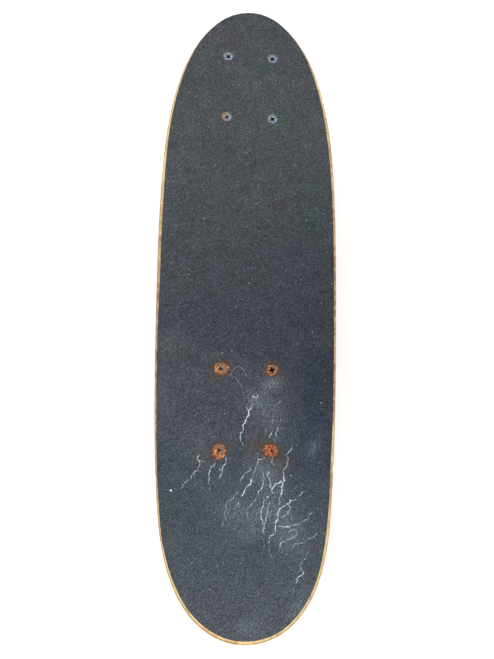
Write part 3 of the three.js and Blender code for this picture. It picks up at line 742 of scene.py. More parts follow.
# Each crack in the grit, as its width and its turning points on the flat blank.
CRACKS = [
    (MEDIUM, (10, -133), (8, -137), (5, -135), (5, -139)),
    (BOLD, (4, -144), (2, -148), (2, -151), (-2, -158), (-2, -161), (-4, -166), (-4, -171)),
    (MEDIUM, (0, -144), (2, -148)),
    (FINE, (28, -139), (24, -142), (21, -148)),
    (HAIR, (28, -150), (26, -157)),
    (MEDIUM, (26, -159), (24, -163), (23, -168)),
    (MEDIUM, (21, -161), (20, -165), (18, -168)),
    (HAIR, (16, -160), (15, -165), (17, -167)),
    (MEDIUM, (36, -173), (36, -176), (32, -180), (33, -184), (32, -189), (29, -193), (30, -200)),
    (BOLD, (30, -197), (30, -200), (28, -203), (28, -209), (26, -212)),
    (FINE, (26, -212), (26, -218)),
    (BOLD, (29, -200), (24, -202), (21, -205), (20, -210)),
    (FINE, (41, -172), (39, -174)),
    (MEDIUM, (21, -182), (20, -187)),
    (MEDIUM, (16, -182), (13, -184), (10, -185), (9, -188), (7, -193), (5, -199)),
    (BOLD, (5, -198), (4, -203), (0, -205), (-1, -209), (-3, -212)),
    (MEDIUM, (3, -190), (5, -192), (-1, -195), (-3, -199), (-4, -201)),
    (MEDIUM, (12, -192), (14, -195), (14, -201), (13, -205), (10, -208), (10, -212)),
    (MEDIUM, (18, -192), (17, -195), (19, -201), (20, -206)),
    (MEDIUM, (-15, -182), (-15, -187), (-17, -190), (-18, -195), (-20, -199)),
    (FINE, (-20, -190), (-18, -194)),
    (MEDIUM, (-22, -187), (-26, -190), (-28, -196), (-27, -203)),
    (HAIR, (-27, -203), (-27, -208)),
    (MEDIUM, (-36, -181), (-37, -184), (-35, -187), (-36, -192), (-39, -194), (-42, -199)),
    (FINE, (-42, -199), (-45, -201), (-49, -207)),
    (FINE, (-11, -196), (-13, -199)),
    (FINE, (-5, -207), (-9, -213), (-14, -216), (-15, -222), (-15, -229)),
    (FINE, (-4, -213), (-6, -219)),
    (MEDIUM, (8, -213), (5, -217), (2, -220)),
    (HAIR, (2, -220), (1, -227)),
    (MEDIUM, (14, -213), (14, -217), (12, -222), (12, -228), (14, -232)),
    (FINE, (14, -232), (13, -238)),
    (FINE, (18, -215), (17, -222), (15, -229), (13, -234), (14, -240)),
    (BOLD, (39, -214), (34, -214), (33, -217), (28, -219), (25, -222), (24, -227), (22, -232), (22, -237)),
    (MEDIUM, (22, -237), (18, -240), (17, -245)),
    (HAIR, (17, -245), (17, -250), (20, -256)),
    (MEDIUM, (33, -217), (34, -221), (30, -225), (25, -227)),
    (FINE, (48, -206), (43, -209), (39, -213)),
    (MEDIUM, (40, -231), (36, -232), (31, -233), (24, -233)),
    (FINE, (51, -221), (47, -227), (40, -231)),
    (FINE, (38, -235), (34, -235), (32, -237)),
    (FINE, (39, -236), (36, -240), (30, -243), (26, -244), (24, -249)),
    (FINE, (54, -237), (50, -240), (44, -243), (35, -246), (33, -250)),
    (FINE, (46, -249), (44, -253), (41, -257), (38, -258)),
    (MEDIUM, (38, -259), (41, -264), (36, -268), (36, -271)),
    (FINE, (44, -262), (41, -264)),
    (HAIR, (35, -272), (32, -278)),
    (HAIR, (39, -202), (38, -207)),
    (FINE, (5, -138), (5, -142), (4, -145)),
    (HAIR, (24, -146), (22, -152), (20, -158)),
    (HAIR, (12, -239), (14, -245), (13, -251)),
    (HAIR, (27, -238), (25, -245), (27, -252)),
    (HAIR, (31, -246), (29, -254)),
    (HAIR, (-16, -228), (-17, -234)),
]
# Smooth hair scratches.
SCRATCHES = [
    ((-16, -119), (-13, -119), (-11, -116), (-9, -113), (-6, -112), (-3, -114), (-1, -117), (1, -121)),
    ((-13, -119), (-9, -121), (-6, -125), (-3, -129)),
]
# Specks where a single grain has gone: x, s and radius.
SPECKS = [
    (-56, -207.5, 1.0),
    (17, -212, 0.7),
    (-12, -99.5, 0.5),
    (60, -140, 0.5),
    (35, -196, 0.5),
    (31, -233, 0.7),
]
LOOSE_SPECKS = 80
DUST_HAIRS, QUADS_PER_HAIR = 300, 4
DUST_ACROSS, DUST_ALONG = (-25, 56), (-275, -122)  # where the dust hairs lie
DUST_LEAN, DUST_SPREAD = -65, 28  # their direction in degrees, and how far it varies
# Dusty patches: x, s, half width, half length, the way they lean in degrees, and how pale they are.
HAZE = [
    (20, -126, 8, 5, -30, 0.22),
    (7, -139, 8, 8, -30, 0.18),
    (20, -152, 9, 14, -20, 0.12),
    (12, -190, 10, 10, -20, 0.1),
    (-12, -221, 12, 8, -40, 0.12),
    (4, -230, 16, 12, -40, 0.13),
    (26, -222, 10, 18, -30, 0.13),
    (34, -240, 12, 12, -50, 0.09),
    (22, -200, 12, 10, -20, 0.1),
    (-35, -172, 4, 9, 0, 0.07),
    (-33, -207, 2, 15, -50, 0.12),
    (53, -176, 3, 8, 20, 0.16),
    (35, -285, 9, 5, -30, 0.16),
    (0, -296, 8, 4, 0, 0.12),
    (-58, -90, 12, 10, 0, 0.04),
    (-66, -135, 5, 34, 0, 0.04),
]
# Brown stains: x, s, radius and strength.
STAINS = [
    (10, -174, 7, 0.75),
    (30, -186, 6, 0.5),
    (24, -184, 6, 0.5),
    (27, -198, 1.6, 0.9),
    (-32, -184, 7, 0.3),
    (-26, -121, 5, 0.6),
    (-14, -172, 5, 0.3),
    (52, -247, 2.0, 0.8),
    (-22, 108, 4, 0.3),
]
# The torn hole round each bolt: its radius, how ragged it is, and how far its long side reaches.
TORN_HOLES = {
    "rear_left_outer": (5.6, 0.5, (0, -1.8)),
    "rear_right_outer": (5.3, 0.5, (-2.2, 0.6)),
    "rear_left_inner": (5.5, 0.6, (2.0, 0.1)),
    "rear_right_inner": (4.75, 0.25, (-0.5, -0.4)),
}
CLEAN_HOLE = (4.75, 0.12, (0, 0))
HOLE_SEED = 2.3  # makes each bolt's tear different
GRIT_SHADE = 0.72  # from the tone that shows under the lamps to the grit's own


# The grit's tone along the blank: greyer at the nose, darker amidships, and lighter and bluer at the tail,
# which is painted light on the kick.
TONES = {
    -305: (93, 99, 105),
    -200: (77, 85, 94),
    -130: (72, 77, 85),
    -75: (70, 74, 81),
    -20: (74, 78, 84),
    40: (79, 83, 88),
    110: (83, 88, 91),
    228: (82, 85, 89),
}


def tone_at(x, s):
    """The grit's colour at places on the blank, with painted light and shade in it."""
    tones = np.array(list(TONES.values()))
    base = np.stack([np.interp(s, list(TONES), tones[:, c]) for c in range(3)], -1)
    # Painted light: the grit's left side is lighter amidships, and its right side darker.
    amidships = np.exp(-(((s + 40) / 110) ** 2))
    base += (-x / 60 * 4.5 * amidships)[:, None] * (1, 1, 0.9)
    # Trodden dust lies behind a line that crosses in front of the rear bolts, and stops short of the tail.
    behind = smoothstep((-82 - 0.29 * (x + 68) - s) / 7) * smoothstep((40 - x) / 16)
    before = smoothstep((s + 193 + 0.82 * (x + 43)) / 8)
    base += (6 * behind * before)[:, None] * (1.15, 1.0, 0.75)
    # Painted shade darkens the right-hand grit from the middle back to the kick.
    painted_right_shade = smoothstep((x - 38) / 14) * smoothstep((-90 - s) / 20) * smoothstep((s + 205) / 20)
    base -= (9 * painted_right_shade)[:, None] * (1.1, 0.9, 0.6)
    # Greenish and purplish patches, which fade out behind the middle.
    patches = smooth_noise(np.stack([x, s], 1), 26, 2.6) * smoothstep((s + 90) / 120)
    base += (4 * patches)[:, None] * (-0.9, 0.6, -0.2)
    shade = np.clip(base / 255, 0, 1)
    return GRIT_SHADE * ((shade + 0.055) / 1.055) ** 2.4


def smoothstep(value):
    """Eases a value from 0 to 1."""
    value = np.clip(value, 0, 1)
    return value * value * (3 - 2 * value)


def haze_at(x, s):
    """How much dust lies on the grit."""
    total = np.zeros_like(x)
    for cx, cs, wide, long, lean, amount in HAZE:
        a = math.radians(lean)
        across = ((x - cx) * math.cos(a) - (s - cs) * math.sin(a)) / wide
        along = ((x - cx) * math.sin(a) + (s - cs) * math.cos(a)) / long
        total += amount * np.exp(-(across**2 + along**2))
    return total


def stain_at(x, s):
    """How brown the grit is: in the stains, and round the torn holes."""
    total = np.zeros_like(x)
    for cx, cs, radius, amount in STAINS:
        total = np.maximum(total, amount * np.exp(-(((x - cx) ** 2 + (s - cs) ** 2) / radius**2)))
    for name in TORN_HOLES:
        cx, cs = bolt_spots[name]
        far = np.hypot(x - cx, s - cs)
        total = np.maximum(total, 0.8 * np.exp(-(np.maximum(far - 5.6, 0) / 1.8) ** 2))
    return total


def jagged(points, width, rng, rough=1.0):
    """A crack's two edges, as quads: it zigzags, swells and thins between its turning points."""
    path = []
    for start, end in zip(points, points[1:]):
        lean = Vector(end) - Vector(start)
        steps = max(2, round(lean.length / CRACK_STEP))
        across = Vector((-lean.y, lean.x)).normalized()
        swing = rng.uniform(-0.5, 0.5)
        for k in range(steps):
            f = k / steps
            wander = rough * (swing * math.sin(2 * math.pi * f) + rng.gauss(0, CRACK_WANDER)) if k else 0
            path.append(Vector(start) + lean * f + across * wander)
    path.append(Vector(points[-1]))
    left, right = [], []
    for k, here in enumerate(path):
        way = path[min(k + 1, len(path) - 1)] - path[max(k - 1, 0)]
        across = Vector((-way.y, way.x)).normalized()
        taper = min(1, 0.3 + 0.35 * min(k, len(path) - 1 - k))
        half = width / 2 * taper * rng.uniform(1 - 0.6 * rough, 1 + 0.5 * rough)
        left.append(here + across * half)
        right.append(here - across * half)
    return [(left[k], left[k + 1], right[k + 1], right[k]) for k in range(len(path) - 1)]


def ragged_circle(x, s, radius, ragged, reach, seed, steps=56):
    """A torn hole's edge: it reaches further out towards the point `reach` from its middle."""
    pull = Vector(reach)
    loop = []
    for k in range(steps):
        way = Vector((math.cos(2 * math.pi * k / steps), math.sin(2 * math.pi * k / steps)))
        rough = noise.fractal(Vector((way.x * 2, way.y * 2, seed)), 0.8, 2.2, 4)
        far = radius + ragged * rough + max(0, way.dot(pull)) ** 2 / max(pull.length, 0.01)
        loop.append((x + way.x * far, s + way.y * far))
    return loop


def counterclockwise(loop):
    area = sum(a[0] * b[1] - b[0] * a[1] for a, b in zip(loop, [*loop[1:], loop[0]]))
    return list(loop) if area > 0 else list(reversed(loop))


def sheet_from(edge, cut_outs, interior):
    """Fills a closed edge with triangles, except inside the cut-outs. Returns its points and triangles."""
    points, faces = [], []
    for loop in [edge, *cut_outs]:
        start = len(points)
        points += [Vector((p[0], p[1])) for p in counterclockwise(loop)]
        faces.append(list(range(start, len(points))))
    points += [Vector(p) for p in interior]
    found, _, triangles, _, _, inside = delaunay_2d_cdt(points, [], faces, 0, 1e-6)
    kept = [tuple(t) for t, loops in zip(triangles, inside) if list(loops) == [0]]
    used = sorted({corner for t in kept for corner in t})
    order = {old: new for new, old in enumerate(used)}
    return np.array([found[k] for k in used]), [tuple(order[c] for c in t) for t in kept]


def slab_mesh(name, flat, triangles, low, high, lift=0.0):
    """A bent sheet between two heights above the deck, from its flat points and triangles.

    Each side of a triangle that no other triangle shares becomes a wall."""
    count = len(flat)
    top = bend(flat[:, 0], flat[:, 1], high + lift)
    under = bend(flat[:, 0], flat[:, 1], low)
    edges = {}
    for a, b, c in triangles:
        for pair in ((a, b), (b, c), (c, a)):
            edges[tuple(sorted(pair))] = None if tuple(sorted(pair)) in edges else pair
    walls = [(b, a, a + count, b + count) for a, b in (pair for pair in edges.values() if pair)]
    faces = [*triangles, *[(c + count, b + count, a + count) for a, b, c in triangles], *walls]
    return made(name, np.concatenate([top, under]), faces, 60)


def add_values(mesh, name, values, colour=False):
    """Gives each of a mesh's points a value for its material."""
    kind = "FLOAT_COLOR" if colour else "FLOAT"
    layer = mesh.attributes.new(name, kind, "POINT")
    layer.data.foreach_set("color" if colour else "value", np.ascontiguousarray(values, np.float32).ravel())


def grid_inside(inset, step, crowded):
    """A grid of points on the blank, with closer ones round each of the crowded places."""
    edge = outline(inset)
    right = edge[: LOOP_STEPS // 2 + 1]
    spread = []
    for s in np.arange(TAIL_END + step, NOSE_END - step, step):
        half = np.interp(s, right[::-1, 1], right[::-1, 0]) - 0.6 * step
        count = int(half / step)
        spread += [(x * half / max(count, 1), s) for x in range(-count, count + 1)]
    for cx, cs in crowded:
        for radius in (8.5, 10, 12, 14.5):
            turns = np.arange(0, 6.2, 3 / radius)
            spread += [(cx + radius * math.cos(a), cs + radius * math.sin(a)) for a in turns]
    return spread


# How much further in the sheet was trimmed on each long side: places along the blank, and the amounts there.
RIGHT_TRIM = (
    (-300, -250, -185, -105, 28, 100, 165, 203, 225),
    (0, 0.7, 0.9, 0.35, 0.75, 1.5, 1.2, 0.6, 0),
)
LEFT_TRIM = (
    (-300, -250, -105, -30, 28, 95, 158, 200, 225),
    (0, -0.4, -0.2, 0.9, 1.1, 0.5, 0.5, 0.1, 0),
)
FILM_BACK = 0.12  # how far the film's edges lie behind the grit's


def trim_inset():
    """How far inside the blank's edge the hand-cut sheet ends, at each point of the outline."""
    loop = outline(0)
    right, left = [np.interp(loop[:, 1], *trim) for trim in (RIGHT_TRIM, LEFT_TRIM)]
    inset = GRIP_INSET + np.where(loop[:, 0] > 0, right, left)
    return inset + 0.2 * smooth_noise(loop, 26, 1.7) + 0.1 * smooth_noise(loop, 3, 4.2)


def build_grip():
    """The grip tape: a pale film, and over it a layer of grit that the cracks are cut through."""
    holes = []
    for index, (name, spot) in enumerate(bolt_spots.items()):
        radius, ragged, reach = TORN_HOLES.get(name, CLEAN_HOLE)
        holes.append((*spot, radius, ragged, reach, index * HOLE_SEED))
    trim = trim_inset()
    grid = grid_inside(GRIP_INSET + 1, GRID, bolt_spots.values())
    build_film(trim, holes, grid)
    build_grit(trim, holes, grid)


def build_film(trim, holes, grid):
    """The backing, which its trimmed edge and the cracks in the grit lay bare."""
    film_holes = [ragged_circle(x, s, radius + FILM_BACK, *rest) for x, s, radius, *rest in holes]
    flat, triangles = sheet_from(outline(trim + FILM_BACK), film_holes, grid)
    film = slab_mesh("griptape_film", flat, triangles, FILM_LOW, FILM_HIGH)
    # Its outer wall is dark like the grit, and the rest is pale.
    for face in film.polygons:
        x, s = face.center.x / MM, (face.center.y - wheelbase_middle) / MM
        face.material_index = int(abs(face.normal.z) < 0.5 and not inside_sheet(x, s, 3))
    piece("griptape_film", film, [FILM, CUT_EDGE], "board", ["griptape"])


def build_grit(trim, holes, grid):
    """The grit, with its cracks and specks cut out and its colours as values on its points."""
    rng = random.Random(GRIT_SEED)
    grit_holes = [ragged_circle(*hole) for hole in holes]
    cracks = all_cracks(rng)
    spots = all_specks(rng)
    flat, triangles = sheet_from(outline(trim), [*grit_holes, *cracks, *spots], grid)
    ripple = 0.05 * smooth_noise(flat, 22, 9.3)
    grit = slab_mesh("griptape_grit", flat, triangles, FILM_HIGH + 0.01, GRIT_HIGH, ripple)
    x, s = np.tile(flat, (2, 1)).T
    tone = np.concatenate([tone_at(x, s), np.ones((len(x), 1))], 1)
    add_values(grit, "tone", tone, colour=True)
    add_values(grit, "haze", haze_at(x, s))
    add_values(grit, "stain", stain_at(x, s))
    piece("griptape_grit", grit, GRIT, "board")


def all_cracks(rng):
    """Every crack and scratch in the grit, as quads."""
    cracks = [quad for width, *points in CRACKS for quad in jagged(points, width, rng)]
    for width, *points in CRACKS:
        for start, end in zip(points, points[1:]):
            if width > HAIR and rng.random() < BRANCHING:
                cracks += jagged(branch(start, end, rng), HAIR * rng.uniform(0.7, 1.4), rng)
    for points in SCRATCHES:
        cracks += jagged(points, HAIR, rng, 0.15)
    return cracks + dust_hairs(rng)


def all_specks(rng):
    """The placed specks and the loose ones, as small loops."""
    specks = list(SPECKS)
    for _ in range(LOOSE_SPECKS):
        specks.append((rng.uniform(-66, 66), rng.uniform(-280, 205), rng.uniform(0.12, 0.34)))
    return [ragged_circle(x, s, r, 0.3 * r, (0, 0), s, 7) for x, s, r in specks if inside_sheet(x, s, 6)]


def dust_hairs(rng):
    """Short, very thin cracks where the grit is dustiest, leaning the way the long ones do."""
    quads = []
    while len(quads) < QUADS_PER_HAIR * DUST_HAIRS:
        x, s = rng.uniform(*DUST_ACROSS), rng.uniform(*DUST_ALONG)
        if haze_at(np.array([x]), np.array([s]))[0] > rng.uniform(0.02, 0.3):
            lean = math.radians(rng.gauss(DUST_LEAN, DUST_SPREAD))
            reach = rng.uniform(1, 4)
            end = (x + reach * math.cos(lean), s + reach * math.sin(lean) * (1 if lean < 0 else -1))
            quads += jagged([(x, s), end], rng.uniform(0.08, 0.24), rng)
    return quads


def branch(start, end, rng):
    """A short hair crack that leaves another one sideways."""
    start, end = Vector(start), Vector(end)
    way = (end - start).normalized()
    way.rotate(Matrix.Rotation(math.radians(rng.choice((-1, 1)) * rng.uniform(25, 65)), 2))
    root = start.lerp(end, rng.random())
    return [tuple(root), tuple(root + way * rng.uniform(1.5, 5))]


def inside_sheet(x, s, margin):
    """Whether a place is at least this far inside the sheet's edge."""
    edge = outline(GRIP_INSET + margin)[: LOOP_STEPS // 2 + 1]
    return edge[-1, 1] < s < edge[0, 1] and abs(x) < np.interp(s, edge[::-1, 1], edge[::-1, 0])


# ---- Deck hardware ----

# Each cross recess's turn in degrees and how open it still is, how lumpy and how rusty its head is, how much
# bare metal shows on its right, and what fills the recess, the darkest fillings with painted shade.
HEADS = {
    "front_left_outer": (50, 1, 0.02, 0.2, 0, "grime"),
    "front_right_outer": (62, 1, 0.02, 0.35, 0, "rust_and_shade"),
    "front_left_inner": (20, 1, 0.03, 0.9, 0, "pale_rust"),
    "front_right_inner": (38, 1, 0.02, 0.1, 0, "grime"),
    "rear_left_inner": (10, 0.62, 0.2, 1, 1.6, "brown_rust"),
    "rear_right_inner": (12, 1, 0.08, 1, 1.4, "rust_and_shade"),
    "rear_left_outer": (30, 0.7, 0.2, 1, 0.7, "brown_rust"),
    "rear_right_outer": (5, 0.55, 0.22, 1, 0.1, "red_rust"),
}
LUMPY = 0.05  # heads more corroded than this have lost their crisp edges
# How red the rust is on each rear head.
REDNESS = {"rear_left_inner": 0.1, "rear_right_inner": 0.1, "rear_left_outer": 0.25, "rear_right_outer": 0.6}


def cross_cutter(turn, opening):
    """A cross that narrows downwards, to cut the recess into a head whose top is at z = 0."""
    work = bmesh.new()
    above = 0.5
    for quarter in (0, 90):
        corners = bmesh.ops.create_cube(work, size=1)["verts"]
        for vertex in corners:
            low = vertex.co.z < 0
            vertex.co.z = -RECESS_DEPTH if low else above
            vertex.co.x *= RECESS_REACH * opening * (0.4 if low else 1 + 0.6 * above / RECESS_DEPTH)
            vertex.co.y *= RECESS_WIDTH * opening * (0.7 if low else 1 + 0.3 * above / RECESS_DEPTH)
        bmesh.ops.rotate(work, verts=corners, matrix=Matrix.Rotation(math.radians(turn + quarter), 3, "Z"))
    mesh = bpy.data.meshes.new("cross")
    bmesh.ops.scale(work, verts=work.verts, vec=(MM, MM, MM))
    work.to_mesh(mesh)
    work.free()
    return mesh


def bolt_shape(turn, opening, corrosion):
    """A countersunk bolt with its head's top at z = 0, a cross recess in it and threads below."""
    shank_start = -HEAD_DEPTH - 0.6
    profile = [(0, 0), (BOLT_HEAD - 0.2, 0), (BOLT_HEAD, -0.25), (BOLT_HEAD, -0.5), (BOLT_SHANK, -HEAD_DEPTH)]
    profile += threads(BOLT_SHANK, shank_start, -BOLT_LENGTH + 0.6, 0.8, 0.3)
    profile += [(BOLT_SHANK - 0.7, -BOLT_LENGTH), (0, -BOLT_LENGTH)]
    head = temporary(made("head", *lathe(profile, 64)))
    cutter = temporary(cross_cutter(turn, opening))
    cut = head.modifiers.new("recess", "BOOLEAN")
    cut.object = cutter
    cut.use_self = True
    if corrosion > LUMPY:
        remesh = head.modifiers.new("remesh", "REMESH")
        remesh.voxel_size = 0.2 * MM
    mesh = evaluated(head)
    bpy.data.objects.remove(cutter)
    if corrosion > LUMPY:
        roughen(mesh, corrosion * MM, 1.5 * MM, turn)
    return finished(mesh, 80 if corrosion > LUMPY else 35)


def bolt_mesh(name):
    """A deck bolt with the values that its wear is painted from, and its recess filled."""
    turn, opening, corrosion, rust, bare, _ = HEADS[name]
    mesh = bolt_shape(turn, opening, corrosion)
    x, y, z = np.array([v.co for v in mesh.vertices]).T / MM
    far = np.hypot(x, y)
    rim = np.clip((far - 3.7) / 0.9, 0, 1) + 0.8 * np.clip(-z / 1.2, 0, 1)
    left = np.clip(0.6 - x / 5, 0, 1)
    add_values(mesh, "rust", np.clip(rust * left * (rim + 0.1), 0, 1))
    add_values(mesh, "bare", np.clip(bare * (0.5 + (x + 0.5 * y) / 3), 0, 1))
    add_values(mesh, "rim", np.clip((far - 3.6) / 0.7, 0, 1))
    add_values(mesh, "seed", np.full(len(far), 1.7 * turn))
    add_values(mesh, "red", np.full(len(far), REDNESS.get(name, 0)))
    recess = opening * RECESS_REACH / 2 + 0.1
    return second_surface(mesh, lambda far, z: 0.12 < -z < HEAD_DEPTH - 0.1 and far < min(recess, 4.2 + z))


def nut_mesh(name, flats, height, collar, bore):
    """A lock nut about Z: a chamfered hexagon, a round collar and the nylon ring in it."""
    corner = flats / math.sqrt(3)
    round_part = flats * 0.42
    profile = [
        (bore, 0),
        (flats / 2 - 0.1, 0),
        (corner + 0.1, 0.8),
        (corner + 0.1, height - 1),
        (flats / 2 - 0.1, height),
        (round_part, height + 0.15),
        (round_part, height + collar - 0.5),
        (round_part - 0.5, height + collar),
        (bore + 1, height + collar),
        (bore + 0.9, height + collar - 0.25),
        (bore - 0.15, height + collar - 0.3),
        (bore - 0.15, height),
    ]
    mesh = made(name, *lathe(rounded(profile, 0.18, 2), 72, hexagon(flats)))
    return second_surface(mesh, lambda far, z: far < bore + 0.95 and z > height)


def riser_mesh(low, high):
    """A rounded pad with softened rims, filling the box of its node."""
    width, length = (high.x - low.x) / MM / 2, (high.y - low.y) / MM / 2
    middle = (low + high) / 2
    corner, soft, steps = 8, 0.5, 8
    levels = [(soft, 0), (0.12, 0.15), (0, soft), (0, 1 - soft), (0.12, 0.85), (soft, 1)]
    points = []
    for inset, height in levels:
        reach = corner - inset
        for quarter, (sx, sy) in enumerate([(1, 1), (-1, 1), (-1, -1), (1, -1)]):
            for k in range(steps + 1):
                a = math.radians(90 * quarter + 90 * k / steps)
                x = sx * (width - corner) + reach * math.cos(a)
                y = sy * (length - corner) + reach * math.sin(a)
                points.append((middle.x + x * MM, middle.y + y * MM, low.z + height * (high.z - low.z)))
    around = 4 * (steps + 1)
    faces = [tuple(range(around)), tuple(range(len(points) - around, len(points)))]
    for ring in range(len(levels) - 1):
        for k in range(around):
            a, b = ring * around + k, ring * around + (k + 1) % around
            faces.append((a, b, b + around, a + around))
    return made("riser", points, faces)


# A crust's rings: the share of its radius, the height above the deck, and whether it's lumpy there.
CRUST_RINGS = [(0.72, 0.35, 1), (0.8, 0.6, 1), (0.88, 0.62, 1), (0.96, 0.45, 1), (1.05, 0.04, 0)]


def crust_mesh(name, x, s, radius, reach, seed, red):
    """The rust that has bled into the torn hole round a bolt: a lumpy ring on the top ply."""
    steps = 64
    points, faces = [], []
    for share, height, lumps in CRUST_RINGS:
        edge = ragged_circle(x, s, radius * share, 0.3, (reach[0] * share, reach[1] * share), seed, steps)
        lump = 0.25 * smooth_noise(edge, 1.6, seed)
        points.append(bend(*np.array(edge).T, np.maximum(height + lump * lumps, 0.03)))
    under = ragged_circle(x, s, radius * 0.7, 0, (0, 0), seed, steps)
    points.append(bend(*np.array(under).T, -0.3))
    count = len(points)
    for ring in range(count):
        after = (ring + 1) % count
        for k in range(steps):
            n = (k + 1) % steps
            faces.append((ring * steps + k, ring * steps + n, after * steps + n, after * steps + k))
    mesh = made(name, np.concatenate(points), faces, 80)
    # The outer rings get the rim's grey-olive rust and painted shade.
    add_values(mesh, "shaded_fringe", np.repeat([0, 0, 0.2, 0.6, 1, 0], steps))
    add_values(mesh, "red", np.full(count * steps, red))
    return mesh


NUT_TURN = 0.7  # radians from one deck nut to the next, as nobody lines them up


def top_place(node):
    """A frame in the middle of a node's top."""
    middle = middle_of(node)
    return Matrix.Translation((middle.x, middle.y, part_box(node)[1].z))


def build_deck_hardware():
    """The bolts, nuts, rust crusts and risers."""
    nut = nut_mesh("deck_nut", 9.5, 4.2, 1.4, 2.6)
    for index, name in enumerate(bolt_names):
        bolt, surface, slot = f"{name}_bolt", ZINC, "zinc_bolt"
        if name.startswith("rear"):
            surface, slot = RUST, "rusted_bolt"
        surfaces = [surface, FILLINGS[HEADS[name][-1]]]
        piece(f"{bolt}_fine", bolt_mesh(name), surfaces, "board", [bolt], top_place(bolt))
        turn = Euler((math.pi, 0, index * NUT_TURN)).to_matrix().to_4x4()
        place = top_place(f"{name}_nut") @ turn
        piece(f"{name}_nut_fine", nut, [NUT_STEEL, NYLON], "board", [f"{name}_nut"], place)
        if name in TORN_HOLES:
            radius, _, reach = TORN_HOLES[name]
            x, s = bolt_spots[name]
            crust = crust_mesh(f"{name}_rust", x, s, radius, reach, index * HOLE_SEED, REDNESS[name])
            piece(f"{name}_rust_crust", crust, CRUST, "board")
    for end in ENDS:
        node = f"{end}_riser_pad"
        piece(f"{node}_fine", riser_mesh(*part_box(node)), RISER, "board", [node])


# ---- Trucks ----

# The stack on a kingpin, measured down the pin from the deck side of the plate.
KINGPIN_TILT = math.radians(20)
KINGPIN_CROSSING = -1
KINGPIN_RADIUS, KINGPIN_FLATS = 4.75, 14.3
GAP = 0.3
SEAT, WASHER, UPPER, RING, LOWER, NUT, TAIL = 13, 1.2, 14, 7, 9, 7.5, 2
UPPER_WASHER_AT = SEAT + GAP
UPPER_BUSHING_AT = UPPER_WASHER_AT + WASHER + GAP
RING_AT = UPPER_BUSHING_AT + UPPER + GAP
LOWER_BUSHING_AT = RING_AT + RING + GAP
LOWER_WASHER_AT = LOWER_BUSHING_AT + LOWER + GAP
NUT_AT = LOWER_WASHER_AT + WASHER + GAP
KINGPIN_END = NUT_AT + NUT + TAIL
BUSHING_BORE, BUSHING_WIDE_BORE, BUSHING_RADIUS = 5.0, 5.9, 12.2


def truck_frame(end):
    """From a truck's own frame (+Y outwards, origin on its plate) to the board's."""
    middle = middle_of(f"{end}_riser_pad")
    turn = Matrix.Rotation(0 if end == "front" else math.pi, 4, "Z")
    return Matrix.Translation((0, middle.y, plate_top)) @ turn


def kingpin_frame(end):
    """A frame on a truck's kingpin whose +Z runs down the pin."""
    down = Vector((0, -math.sin(KINGPIN_TILT), -math.cos(KINGPIN_TILT)))
    turn = down.to_track_quat("Z", "Y").to_matrix().to_4x4()
    return truck_frame(end) @ Matrix.Translation((0, KINGPIN_CROSSING * MM, 0)) @ turn


def bushing_meshes():
    """The two bushings, with bores that widen where they lean with the hanger."""
    bore, wide, radius = BUSHING_BORE, BUSHING_WIDE_BORE, BUSHING_RADIUS
    upper = [(bore, 0), (radius - 1.4, 0), (radius - 0.2, 1.4), (radius - 0.6, 5), (radius - 0.7, 7)]
    upper += [(radius - 0.6, 9), (radius - 0.4, 11), (radius - 0.2, UPPER - 1.4), (radius - 1.4, UPPER)]
    upper += [(wide, UPPER), (wide, 11), (wide, 8), (wide, 5.5), (bore, 3.5)]
    lower = [(wide, 0), (radius - 1.4, 0), (radius - 0.2, 1.3), (11.4, 2.8), (10.9, 4.2), (10.3, 6)]
    lower += [(9.7, LOWER - 1.2), (8.8, LOWER), (bore, LOWER), (bore, LOWER - 0.8), (wide, LOWER - 2)]
    lower += [(wide, 4.5), (wide, 2)]
    return [made(name, *lathe(rounded(p, 0.9, 4), 72)) for name, p in (("upper", upper), ("lower", lower))]


def squeeze_bushing(bushing, end):
    """Bakes a bushing's place into its mesh."""
    pin = kingpin_frame(end)
    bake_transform(bushing)


def cupped_washer(name, rim, lift):
    """A washer whose rim turns up round its bushing, or down for a negative lift."""
    bore = BUSHING_BORE
    profile = [(bore, 0), (rim, 0), (rim + 1.6, lift)]
    profile += [(rim + 1.6, lift + WASHER), (rim, WASHER), (bore, WASHER)]
    return made(name, *lathe(rounded(profile, 0.5, 3), 72))


def kingpin_mesh():
    """A kingpin with a six-sided head and threads for its nut."""
    head_end = 8.0
    profile = [(0, 3.4), (7.3, 3.4), (8.2, 4.0), (8.2, head_end), (KINGPIN_RADIUS, head_end)]
    profile += [(KINGPIN_RADIUS, NUT_AT - 3)]
    profile += threads(KINGPIN_RADIUS, NUT_AT - 2.5, KINGPIN_END - 1.2, 1.25, 0.5)
    profile += [(KINGPIN_RADIUS - 1.2, KINGPIN_END), (0, KINGPIN_END)]
    points, faces = lathe(profile, 72)
    cap = hexagon(KINGPIN_FLATS)
    shaped = []
    for x, y, z in points:
        far = math.hypot(x, y) / MM
        most = cap(math.atan2(y, x))
        shrink = min(1, most / far) if far > 0 and z / MM < head_end + 0.1 else 1
        shaped.append((x * shrink, y * shrink, z))
    return made("kingpin", shaped, faces)


def bearing_mesh():
    """A 608 bearing about Z with its shield in the +Z face."""
    outer_ring = [(4.05, 0.2), (4.25, 0), (10.7, 0), (11.0, 0.3), (11.0, 6.4), (10.75, 6.7), (9.75, 6.7)]
    shield = [(9.6, 6.35), (9.3, 6.2), (8.6, 6.15), (6.6, 6.15), (6.1, 6.25)]
    inner_ring = [(6.05, 6.7), (4.3, 6.7), (4.05, 6.45)]
    mesh = made("bearing", *lathe([*outer_ring, *shield, *inner_ring], 72), 30)
    return second_surface(mesh, lambda far, z: 6.08 < far < 9.7 and z > 5)


